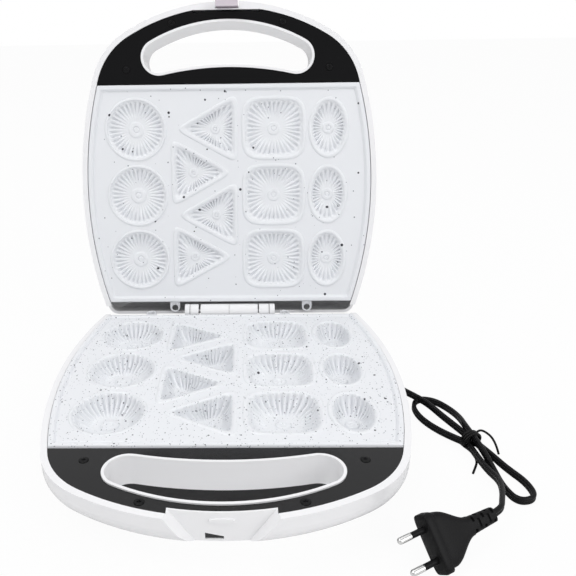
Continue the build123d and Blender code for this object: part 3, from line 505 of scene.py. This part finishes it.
# The lid's cavities: a flat floor with a short wall, and ribs that climb to most of its height
class ShallowPlate(PlateStyle):
    WALL_START, WALL_WIDTH = 0.88, 0.12
    CREST_START, CREST_WIDTH = 0.30, 0.70
    CREST_CLIMB = 0.8

    def floor(self, share, ridge):
        groove = -self.depth * (1 - ease((share - self.WALL_START) / self.WALL_WIDTH))
        climb = ease((share - self.CREST_START) / self.CREST_WIDTH) * self.CREST_CLIMB
        crest = -self.depth * (1 - climb)
        return groove + (crest - groove) * ridge


# The base's cavities: deep bowls, with ribs that fade out towards the middle
class DeepPlate(PlateStyle):
    GROOVE_POWER = 5
    CREST_RIM, CREST_POWER = 0.93, 2.2
    FADE_START, FADE_WIDTH = 0.38, 0.3

    def floor(self, share, ridge):
        groove = -self.depth * np.sqrt(np.clip(1 - share**self.GROOVE_POWER, 0, 1))
        inner = np.clip(share / self.CREST_RIM, 0, 1)
        crest = -self.depth * np.sqrt(np.clip(1 - inner**self.CREST_POWER, 0, 1))
        fade = ease((share - self.FADE_START) / self.FADE_WIDTH)
        return groove + (crest - groove) * ridge * fade


LID_STYLE = ShallowPlate(
    depth=3.6, band=1.0, boss_rise=0.8, dimple=0.7, lip=2.2, lip_width=3.4,
    lip_fall=2.4, channel=0.0, ridge_power=1.3,
)
BASE_STYLE = DeepPlate(
    depth=11.5, band=0.7, boss_rise=1.2, dimple=0.6, lip=0.8, lip_width=3.4,
    lip_fall=1.0, channel=0.7, ridge_power=1.6,
)


def cavity_grid(kind, x, v, style):
    count = FLUTES[kind] * STEPS_PER_FLUTE
    angle = np.arange(count) * (2 * math.pi / count)
    ridge = 0.5 + 0.5 * np.cos(angle * FLUTES[kind])
    ridge = 1 - (1 - ridge) ** style.ridge_power
    outer = outline_radius(kind, angle, 0)
    rim = outline_radius(kind, angle, FLUTE_INSETS[kind])
    rings = []
    for share in BOSS_RINGS:
        radius = share * BOSS_RADII[kind]
        height = style.floor(radius / rim, ridge) + style.boss(share)
        rings.append((np.full(count, radius), height))
    last = BOSS_RINGS[-1] * BOSS_RADII[kind]
    for share in WALL_SHARES:
        radius = last + (rim - last) * share
        rings.append((radius, style.floor(radius / rim, ridge)))
    for share in BAND_STEPS:
        radius = rim + (outer - rim) * share
        fall = 1 - ease((share - BAND_FALL_START) / BAND_FALL)
        rings.append((radius, np.full(count, style.band * ease(share / BAND_RISE) * fall)))
    centre_height = style.floor(np.zeros(1), np.ones(1))[0] + style.boss(0.0)
    points = [(x, -v, centre_height)]
    for radius, height in rings:
        points += list(zip(x + radius * np.cos(angle), -v + radius * np.sin(angle), height))
    faces = [(0, 1 + step, 1 + (step + 1) % count) for step in range(count)]
    faces += sheet_faces(len(rings), count, first=1)
    outer_ring = list(range(1 + (len(rings) - 1) * count, 1 + len(rings) * count))
    return points, faces, outer_ring


def plate_half_width(v, inset):
    reach = SIDE_RADIUS - PLATE_INSET - inset
    return HALF_WIDTH - SIDE_RADIUS + math.sqrt(reach**2 - (v - WIDEST_V) ** 2)


def edge_ring(inset, height):
    rear = PLATE_REAR_V + inset
    front = PLATE_FRONT_V - inset
    side = [rear + (front - rear) * step / SIDE_STEPS for step in range(SIDE_STEPS + 1)]
    right = [(plate_half_width(v, inset), v) for v in side]
    left = [(-x, v) for x, v in reversed(right)]
    across = [1 - 2 * step / ROW_STEPS for step in range(1, ROW_STEPS)]
    front_row = [(right[-1][0] * share, front) for share in across]
    rear_row = [(-right[0][0] * share, rear) for share in across]
    return [(x, -v, height) for x, v in right + front_row + left + rear_row]


def plate_surface(style):
    rings = [edge_ring(0.0, style.edge(0.0) - SKIRT)]
    rings += [edge_ring(inset, float(style.edge(inset))) for inset in EDGE_STEPS]
    count = len(rings[0])
    edge_points = [point for ring in rings for point in ring]
    parts = [(edge_points, sheet_faces(len(rings), count))]
    start = len(edge_points)
    loops = [list(range(start - count, start))]
    for kind, x, v in cavity_places():
        points, faces, outer_ring = cavity_grid(kind, x, v, style)
        parts.append((points, faces))
        loops.append([start + index for index in outer_ring])
        start += len(points)
    points, faces = joined(parts)
    return points, faces, fill_between(points, loops)


# Numbers that delaunay_2d_cdt takes: keep what the outer loop bounds, and merge nearer points
KEEP_INSIDE = 1
MERGE_WITHIN = 1e-5


# The flat of the plate: triangles between its edge and the outlines of the cavities
def fill_between(points, loops):
    order = [index for loop in loops for index in loop]
    flat = [Vector(points[index][:2]) for index in order]
    edges = []
    start = 0
    for loop in loops:
        size = len(loop)
        edges += [(start + step, start + (step + 1) % size) for step in range(size)]
        start += size
    corners, _, triangles, sources, _, _ = delaunay_2d_cdt(
        flat, edges, [], KEEP_INSIDE, MERGE_WITHIN
    )
    places = cavity_places()
    kept = []
    for triangle in triangles:
        centre = sum((corners[index] for index in triangle), Vector((0, 0))) / 3
        if not any(inside_cavity(centre, kind, x, v) for kind, x, v in places):
            kept.append(tuple(order[sources[index][0]] for index in triangle))
    return kept


def inside_cavity(point, kind, x, v):
    offset = np.array([point.x - x, point.y + v])
    distance = float(np.hypot(*offset))
    angle = np.array([math.atan2(offset[1], offset[0])])
    return distance < float(outline_radius(kind, angle, 0)[0])


# Ears: the plates' rear lugs with a hole each
EAR_HALF = 4.5
EAR_END_V = -1.6
EAR_HOLE_V = 2.4
EAR_HOLE_RADIUS = 2.9
EAR_ROOT_V = 9.6
EAR_THICK = 2.5
EAR_BEVEL = 0.4
EAR_BEVEL_IN = 0.35
EAR_STEPS = 64
EAR_SEARCH_STEP = 0.02
LID_EARS = (-51.9, 71.3)
BASE_EARS = (-73.3, 50.2)


def ear_reach(heading):
    distance = EAR_HOLE_RADIUS
    across, along = math.cos(heading), math.sin(heading)
    tip_v = EAR_END_V + EAR_HALF
    while True:
        x = distance * across
        v = EAR_HOLE_V + distance * along
        in_tip = math.hypot(x, v - tip_v) < EAR_HALF
        in_bar = abs(x) < EAR_HALF and tip_v < v < EAR_ROOT_V
        if not (in_tip or in_bar):
            return distance
        distance += EAR_SEARCH_STEP


def plate_ear(x):
    headings = [2 * math.pi * step / EAR_STEPS for step in range(EAR_STEPS)]
    sections = [
        (0, -EAR_THICK, False),
        (0, -EAR_BEVEL, False),
        (-EAR_BEVEL_IN, 0.0, False),
        (EAR_BEVEL_IN, 0.0, True),
        (0, -EAR_BEVEL, True),
        (0, -EAR_THICK, True),
    ]
    points = []
    for grow, height, at_hole in sections:
        for heading in headings:
            reach = (EAR_HOLE_RADIUS if at_hole else ear_reach(heading)) + grow
            v = EAR_HOLE_V + reach * math.sin(heading)
            points.append((x + reach * math.cos(heading), -v, height))
    faces = []
    for section in range(len(sections)):
        low = section * EAR_STEPS
        high = (section + 1) % len(sections) * EAR_STEPS
        for step in range(EAR_STEPS):
            after = (step + 1) % EAR_STEPS
            faces.append((low + step, low + after, high + after, high + step))
    return points, faces


def make_plate(name, node, body, style, ears, place, material):
    points, faces, flat_faces = plate_surface(style)
    points, faces = joined([(points, faces)] + [plate_ear(x) for x in ears])
    piece = new_piece(name, points, faces + flat_faces, place, material, body, smooth=False)
    mesh = piece.data
    mesh.shade_smooth()
    mesh.set_sharp_from_angle(angle=PLATE_SMOOTH_ANGLE)
    first_flat = len(mesh.polygons) - len(flat_faces)
    for index in range(first_flat, len(mesh.polygons)):
        mesh.polygons[index].use_smooth = False
    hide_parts(node)


def make_plates():
    make_plate(
        "base_plate_coated", "base_plate", "base", BASE_STYLE, BASE_EARS, BASE_FRAME, BASE_COATING
    )
    # The lid's plate faces down when the lid is closed
    flip = Matrix.Translation((0, 0, LID_PLATE_TOP)) @ Matrix.Scale(-1, 4, (0, 0, 1))
    lid_place = LID_FRAME @ flip
    make_plate(
        "lid_plate_coated", "lid_plate", "lid", LID_STYLE, LID_EARS, lid_place, LID_COATING
    )


# Cord: centre line as X, Y from the hinge axis and height over the table
GLAND_END = (80.0, 6.6, 17.5)
LEAD_POINTS = [
    (80.0, 30.0, 17.5),
    (94.0, 55.0, 10.0),
    (119.0, 60.0, 5.0),
    (137.0, 41.0, 4.0),
    (139.5, 11.0, 3.6),
    (136.5, -21.0, 3.4),
    (139.0, -52.0, 4.0),
]
HANK_POINTS = [
    (146.5, -75.0, 7.5),
    (153.5, -87.5, 9.6),
    (161.5, -98.5, 9.6),
    (170.0, -110.5, 6.0),
    (178.5, -125.5, 4.6),
    (185.3, -141.4, 4.6),
    (192.5, -156.0, 4.0),
    (199.0, -171.5, 3.2),
    (207.5, -187.0, 3.1),
    (208.0, -202.5, 3.1),
    (194.5, -206.0, 3.1),
    (189.5, -192.0, 3.2),
    (188.8, -175.0, 4.4),
    (185.6, -156.0, 9.8),
    (181.8, -131.0, 10.4),
    (183.2, -112.5, 6.0),
    (179.0, -95.5, 3.2),
    (170.5, -84.5, 3.1),
    (157.5, -82.0, 3.1),
    (151.0, -93.5, 3.1),
    (153.0, -109.0, 3.1),
    (161.0, -123.5, 3.2),
    (171.0, -136.5, 4.4),
    (180.2, -144.5, 4.6),
]
TAIL_POINTS = [
    (182.4, -162.0, 4.4),
    (183.8, -178.0, 6.3),
    (186.0, -191.4, 9.5),
    (182.6, -205.5, 13.2),
    (177.2, -218.4, 16.0),
]
CORD_WIDTH = 6.0
CORD_THICK = 3.4
CORE_STEPS = 13
CURVE_ORDER = 3
CURVE_RESOLUTION = 10
CURVE_BEVEL = 5

# Plug: its place on the table, then sizes from the face back along the cord
PLUG_FACE = (121.5, -256.5)
PLUG_HEADING = math.radians(28.0)
PLUG_PITCH = math.radians(-2.0)
PLUG_ROLL = math.radians(47.0)
PLUG_HEIGHT = 15.9
PLUG_HALF_WIDTH = 17.65
PLUG_HALF_THICK = 6.85
COLLAR_LENGTH = 6.0
COLLAR_EDGES = (
    (0.0, 1.0),
    (0.4, 0.25),
    (1.0, 0.0),
    (COLLAR_LENGTH - 0.8, 0.0),
    (COLLAR_LENGTH - 0.2, 0.3),
)
COLLAR_POWER = 6
COLLAR_STEP = 0.8
STEP_INSET = (1.3, 1.1)
BODY_INSET = (1.5, 1.2)
BODY_POWER = 5
PLUG_BODY_LENGTH = 31.0
PLUG_COUNT = 56
NECK_START = 3
NECK_HALF = 5.75
NECK_HALF_THICK = 4.3
NECK_POWER_FALL = 1.8
NECK_STEPS = 14
RELIEF_LENGTH = 19.0
RELIEF_ROWS = 5
RELIEF_RINGS = 8
RELIEF_COUNT = 48
RELIEF_OVERLAP = 0.5
RELIEF_HALVES = (NECK_HALF - 0.3, 4.1)
RELIEF_TAPER = (1.0, 0.4)
RELIEF_POWER = 3.0
RELIEF_SLOTS = 4
RELIEF_SLOT_ALONG = (0.3, 0.72)
RELIEF_SLOT_ROUND = (0.22, 0.78)
RELIEF_SLOT_SHARE = 0.74
PLUG_LEAD_IN = 8.0
CORD_IN_RELIEF = 2.0
PIN_RADIUS = 2.0
PIN_LENGTH = 19.0
PIN_SPACING = 18.3
PIN_SLEEVE = 10.0
PIN_COUNT = 28
PLUG_FRAME = (
    TABLE_FRAME
    @ Matrix.Translation((*PLUG_FACE, PLUG_HEIGHT))
    @ Matrix.Rotation(PLUG_HEADING, 4, "Z")
    @ Matrix.Rotation(PLUG_PITCH, 4, "Y")
    @ Matrix.Rotation(PLUG_ROLL, 4, "X")
)


def curve_piece(name, points, radius, material):
    curve = bpy.data.curves.new(name, "CURVE")
    curve.dimensions = "3D"
    spline = curve.splines.new("NURBS")
    spline.points.add(len(points) - 1)
    for target, point in zip(spline.points, points):
        target.co = (*point, 1.0)
    spline.order_u = CURVE_ORDER
    spline.use_endpoint_u = True
    spline.resolution_u = CURVE_RESOLUTION
    curve.bevel_depth = radius
    curve.bevel_resolution = CURVE_BEVEL
    curve.use_fill_caps = True
    curve.materials.append(material)
    piece = bpy.data.objects.new(name, curve)
    SCENE.collection.objects.link(piece)
    return piece


# The section of the flat cord: two round cores side by side with a groove between them
def cord_section():
    core = CORD_THICK / 2
    offset = CORD_WIDTH / 2 - core
    waist = math.degrees(math.acos(offset / core))
    points = []
    for side, first in ((1, waist - 90), (-1, waist + 90)):
        for step in range(CORE_STEPS):
            angle = math.radians(first + (360 - 2 * waist) * step / CORE_STEPS)
            points.append((core * math.cos(angle), side * offset + core * math.sin(angle)))
    section = bpy.data.curves.new("cord_section", "CURVE")
    section.dimensions = "2D"
    spline = section.splines.new("POLY")
    spline.points.add(len(points) - 1)
    for target, (x, y) in zip(spline.points, points):
        target.co = (x * MM, y * MM, 0.0, 1.0)
    spline.use_cyclic_u = True
    holder = bpy.data.objects.new("cord_section", section)
    SCENE.collection.objects.link(holder)
    holder.hide_render = True
    holder.hide_viewport = True
    return holder


def make_cord():
    relief_end = PLUG_BODY_LENGTH + RELIEF_LENGTH
    reaches = (relief_end + PLUG_LEAD_IN, relief_end - CORD_IN_RELIEF)
    ends = [PLUG_FRAME @ Vector((reach, 0, 0)) for reach in reaches]
    laid = [GLAND_END] + LEAD_POINTS + HANK_POINTS + TAIL_POINTS
    middle = [TABLE_FRAME @ Vector(point) for point in laid]
    cord = curve_piece("mains_cord", middle + ends, CORD_THICK / 2 * MM, CORD_BLACK)
    cord.data.twist_mode = "Z_UP"
    cord.data.bevel_mode = "OBJECT"
    cord.data.bevel_object = cord_section()
    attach(cord, "base")
    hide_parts("cord_lead", "cord_hank", "cord_tail")
    return cord


# A rectangle with rounded corners: the higher the power, the sharper they are
def rounded_section(half_y, half_z, power, count):
    points = []
    for step in range(count):
        angle = 2 * math.pi * (step + 0.5) / count
        across, up = math.cos(angle), math.sin(angle)
        y = math.copysign(abs(across) ** (2 / power), across) * half_y
        z = math.copysign(abs(up) ** (2 / power), up) * half_z
        points.append((y, z))
    return points


def loft(stations, count):
    points = []
    for x, half_y, half_z, power in stations:
        points += [(x, y, z) for y, z in rounded_section(half_y, half_z, power, count)]
    return points, body_faces(len(stations), count)


# Sections of the plug from its face to the strain relief: distance, half sizes, power
def plug_stations():
    wide, thick = PLUG_HALF_WIDTH, PLUG_HALF_THICK
    body_y, body_z = wide - BODY_INSET[0], thick - BODY_INSET[1]
    body_start = COLLAR_LENGTH + COLLAR_STEP
    neck_start = COLLAR_LENGTH + NECK_START
    stations = [
        (reach, wide - inset, thick - inset, COLLAR_POWER) for reach, inset in COLLAR_EDGES
    ]
    stations += [
        (COLLAR_LENGTH, wide - STEP_INSET[0], thick - STEP_INSET[1], BODY_POWER),
        (body_start, body_y, body_z, BODY_POWER),
    ]
    for step in range(1, NECK_STEPS + 1):
        reach = body_start + (PLUG_BODY_LENGTH - body_start) * step / NECK_STEPS
        share = float(ease((reach - neck_start) / (PLUG_BODY_LENGTH - neck_start)))
        half_y = body_y * (1 - share) + NECK_HALF * share
        half_z = body_z * (1 - share) + NECK_HALF_THICK * share
        stations.append((reach, half_y, half_z, BODY_POWER - NECK_POWER_FALL * share))
    return stations


# Strain relief: a tapered sleeve with rows of slots, each row turned from the one before
def relief_mesh():
    rings = RELIEF_ROWS * RELIEF_RINGS
    points = []
    for ring in range(rings + 1):
        share = ring / rings
        reach = PLUG_BODY_LENGTH - RELIEF_OVERLAP + (RELIEF_LENGTH + RELIEF_OVERLAP) * share
        half_y, half_z = (
            half - taper * share for half, taper in zip(RELIEF_HALVES, RELIEF_TAPER)
        )
        row = min(ring // RELIEF_RINGS, RELIEF_ROWS - 1)
        along = share * RELIEF_ROWS - row
        in_row = RELIEF_SLOT_ALONG[0] < along < RELIEF_SLOT_ALONG[1]
        section = rounded_section(half_y, half_z, RELIEF_POWER, RELIEF_COUNT)
        for step, (y, z) in enumerate(section):
            turn = (step / RELIEF_COUNT * RELIEF_SLOTS + 0.5 * (row % 2)) % 1.0
            in_slot = in_row and RELIEF_SLOT_ROUND[0] < turn < RELIEF_SLOT_ROUND[1]
            sunk = RELIEF_SLOT_SHARE if in_slot else 1.0
            points.append((reach, y * sunk, z * sunk))
    return points, body_faces(rings + 1, RELIEF_COUNT)


def turned(profile, y):
    points = []
    for x, radius in profile:
        for step in range(PIN_COUNT):
            angle = 2 * math.pi * step / PIN_COUNT
            points.append((x, radius * math.cos(angle) + y, radius * math.sin(angle)))
    return points, body_faces(len(profile), PIN_COUNT)


# Profiles of a pin and its sleeve: distance from the plug's face and radius
PIN_PROFILE = [
    (-PIN_LENGTH, 0.9),
    (-PIN_LENGTH + 0.35, 1.5),
    (-PIN_LENGTH + 1.0, 1.9),
    (-PIN_LENGTH + 1.6, PIN_RADIUS),
    (-PIN_SLEEVE, PIN_RADIUS),
]
SLEEVE_PROFILE = [
    (-PIN_SLEEVE, 1.7),
    (-PIN_SLEEVE + 0.2, 1.86),
    (-0.6, 1.9),
    (0.5, 2.2),
    (1.0, 2.2),
]


def make_plug():
    sides = (-PIN_SPACING / 2, PIN_SPACING / 2)
    moulding = loft(plug_stations(), PLUG_COUNT)
    metal = joined([turned(PIN_PROFILE, y) for y in sides])
    sleeving = joined([turned(SLEEVE_PROFILE, y) for y in sides])
    body = new_piece("plug_moulding", *moulding, PLUG_FRAME, PLUG_BLACK, "base")
    relief = new_piece("plug_strain_relief", *relief_mesh(), PLUG_FRAME, PLUG_BLACK, "base")
    pins = new_piece("plug_pin_metal", *metal, PLUG_FRAME, PIN_METAL, "base")
    sleeves = new_piece("plug_pin_sleeves", *sleeving, PLUG_FRAME, PLUG_BLACK, "base")
    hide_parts("plug_body")
    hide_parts("plug_pins")
    return [body, relief, pins, sleeves]


# Tie: a coated wire wound round the three strands, one end standing, the other under the cord
TIE_CENTRE = Vector((182.1, -142.8, 7.0))
TIE_HEADING = math.radians(-68.0)
TIE_HALVES = (8.0, 6.4)
TIE_WIRE = 0.85
TIE_TURNS = 3
TIE_STEPS = 12
TIE_START = math.pi * 0.9
TIE_PITCH = 2 * TIE_WIRE * 1.15
TIE_LOWEST = 1.0
WIRE_END = [
    (187.0, -139.9, 12.4),
    (194.0, -135.0, 10.0),
    (200.5, -143.5, 7.0),
    (199.5, -155.0, 3.0),
]
WIRE_TAIL = [
    (178.0, -143.6, 1.3),
    (181.2, -149.0, 1.1),
    (182.4, -156.0, 1.1),
    (181.6, -162.0, 1.2),
    (178.7, -167.8, 1.3),
    (174.8, -174.4, 1.3),
]


def make_tie():
    wide, high = TIE_HALVES
    along = Vector((math.cos(TIE_HEADING), math.sin(TIE_HEADING), 0))
    across = Vector((-along.y, along.x, 0))
    points = [Vector(point) for point in reversed(WIRE_TAIL)]
    steps = TIE_TURNS * TIE_STEPS
    for step in range(steps + 1):
        angle = 2 * math.pi * step / TIE_STEPS - TIE_START
        slide = (step / steps - 0.5) * TIE_PITCH * TIE_TURNS
        height = max(high * math.sin(angle), TIE_LOWEST - TIE_CENTRE.z)
        point = TIE_CENTRE + along * slide + across * wide * math.cos(angle)
        points.append(point + Vector((0, 0, height)))
    points += [Vector(point) for point in WIRE_END]
    laid = [TABLE_FRAME @ point for point in points]
    tie = curve_piece("cord_tie_wire", laid, TIE_WIRE * MM, TIE_BLACK)
    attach(tie, "base")
    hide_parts("cord_tie")
    return tie


# Painted shade: a dark block in the finger slot under the latch stands in for the shade inside
# it. Its corners as X and height, then its depth
SLOT_SHADE_FACE = [(-9.85, -19.75), (0.85, -19.75), (0.85, -17.65), (-9.85, -15.25)]
SLOT_FRONT_V = 262.6
SLOT_BACK_V = 258.0


def make_slot_painted_shade():
    count = len(SLOT_SHADE_FACE)
    points = [(x, -v, z) for v in (SLOT_FRONT_V, SLOT_BACK_V) for x, z in SLOT_SHADE_FACE]
    faces = [tuple(range(count)), tuple(reversed(range(count, 2 * count)))]
    for step in range(count):
        after = (step + 1) % count
        faces.append((step, count + step, count + after, after))
    # A black block where the slot holds only shade: painted shade
    piece = new_piece(
        "latch_slot_painted_shade", points, faces, BASE_FRAME, COVER_BLACK, "base", smooth=False
    )


# Floor, background and light
FLOOR_COLOUR = (0.78, 0.78, 0.78, 1.0)
FLOOR_GLOW_SHARE = 0.95
FLOOR_HALF = 6.0


# The camera sees the floor nearly white, with the object's shadow; all else sees its paint
def make_floor():
    material = bpy.data.materials.new("floor")
    material.use_nodes = True
    nodes = material.node_tree.nodes
    nodes.clear()
    paint = nodes.new("ShaderNodeBsdfDiffuse")
    paint.inputs["Color"].default_value = FLOOR_COLOUR
    glow = nodes.new("ShaderNodeEmission")
    path = nodes.new("ShaderNodeLightPath")
    share = nodes.new("ShaderNodeMath")
    share.operation = "MULTIPLY"
    share.inputs[1].default_value = FLOOR_GLOW_SHARE
    mix = nodes.new("ShaderNodeMixShader")
    out = nodes.new("ShaderNodeOutputMaterial")
    link(material, path.outputs["Is Camera Ray"], share.inputs[0])
    link(material, share.outputs[0], mix.inputs["Fac"])
    link(material, paint.outputs[0], mix.inputs[1])
    link(material, glow.outputs[0], mix.inputs[2])
    link(material, mix.outputs[0], out.inputs["Surface"])
    mesh = bpy.data.meshes.new("floor")
    low, high = -FLOOR_HALF, FLOOR_HALF
    corners = [(low, low, 0), (high, low, 0), (high, high, 0), (low, high, 0)]
    mesh.from_pydata(corners, [], [(0, 1, 2, 3)])
    mesh.materials.append(material)
    floor = bpy.data.objects.new("floor", mesh)
    SCENE.collection.objects.link(floor)


# Positions on the ramp run from the front of the studio, 0, to its rear, 1
WORLD_RAMP = (
    (0.30, (0.86, 0.86, 0.87, 1)),
    (0.72, (0.95, 0.95, 0.96, 1)),
)
WORLD_STRENGTH = 0.75


# Soft light from all round, a little weaker at the front; the camera sees plain white
def make_world():
    world = bpy.data.worlds.new("studio")
    SCENE.world = world
    world.use_nodes = True
    tree = world.node_tree
    tree.nodes.clear()
    place = tree.nodes.new("ShaderNodeTexCoord")
    parts = tree.nodes.new("ShaderNodeSeparateXYZ")
    ramp = tree.nodes.new("ShaderNodeValToRGB")
    for stop, (position, colour) in zip(ramp.color_ramp.elements, WORLD_RAMP):
        stop.position = position
        stop.color = colour
    lift = tree.nodes.new("ShaderNodeMapRange")
    lift.inputs["From Min"].default_value = -1.0
    soft = tree.nodes.new("ShaderNodeBackground")
    soft.inputs["Strength"].default_value = WORLD_STRENGTH
    plain = tree.nodes.new("ShaderNodeBackground")
    plain.inputs["Color"].default_value = (1, 1, 1, 1)
    path = tree.nodes.new("ShaderNodeLightPath")
    mix = tree.nodes.new("ShaderNodeMixShader")
    out = tree.nodes.new("ShaderNodeOutputWorld")
    tree.links.new(place.outputs["Generated"], parts.inputs[0])
    tree.links.new(parts.outputs["Y"], lift.inputs["Value"])
    tree.links.new(lift.outputs["Result"], ramp.inputs["Fac"])
    tree.links.new(ramp.outputs["Color"], soft.inputs["Color"])
    tree.links.new(path.outputs["Is Camera Ray"], mix.inputs["Fac"])
    tree.links.new(soft.outputs[0], mix.inputs[1])
    tree.links.new(plain.outputs[0], mix.inputs[2])
    tree.links.new(mix.outputs[0], out.inputs["Surface"])


# Lamps: name, place, what each points at, size and power
LAMPS = (
    ("key", (-0.7, -0.5, 1.5), (0, 0, 0.1), 0.9, 7.5),
    ("fill", (1.1, -0.9, 0.9), (0, 0, 0.1), 1.0, 7.0),
    ("top", (0.1, 0.5, 1.6), (0, 0, 0.15), 1.0, 2.0),
)


def area_light(name, place, target, size, power):
    data = bpy.data.lights.new(name, "AREA")
    data.shape = "DISK"
    data.size = size
    data.energy = power
    lamp = bpy.data.objects.new(name, data)
    SCENE.collection.objects.link(lamp)
    lamp.location = place
    lamp.rotation_mode = "QUATERNION"
    lamp.rotation_quaternion = (Vector(target) - Vector(place)).to_track_quat("-Z", "Y")


def make_lights():
    for lamp in LAMPS:
        area_light(*lamp)


make_camera()
make_world()
make_floor()
make_lights()
dress_nodes()
cord = make_cord()
plug_pieces = make_plug()
tie = make_tie()
make_plates()
make_slot_painted_shade()

SCENE.view_settings.view_transform = "Standard"
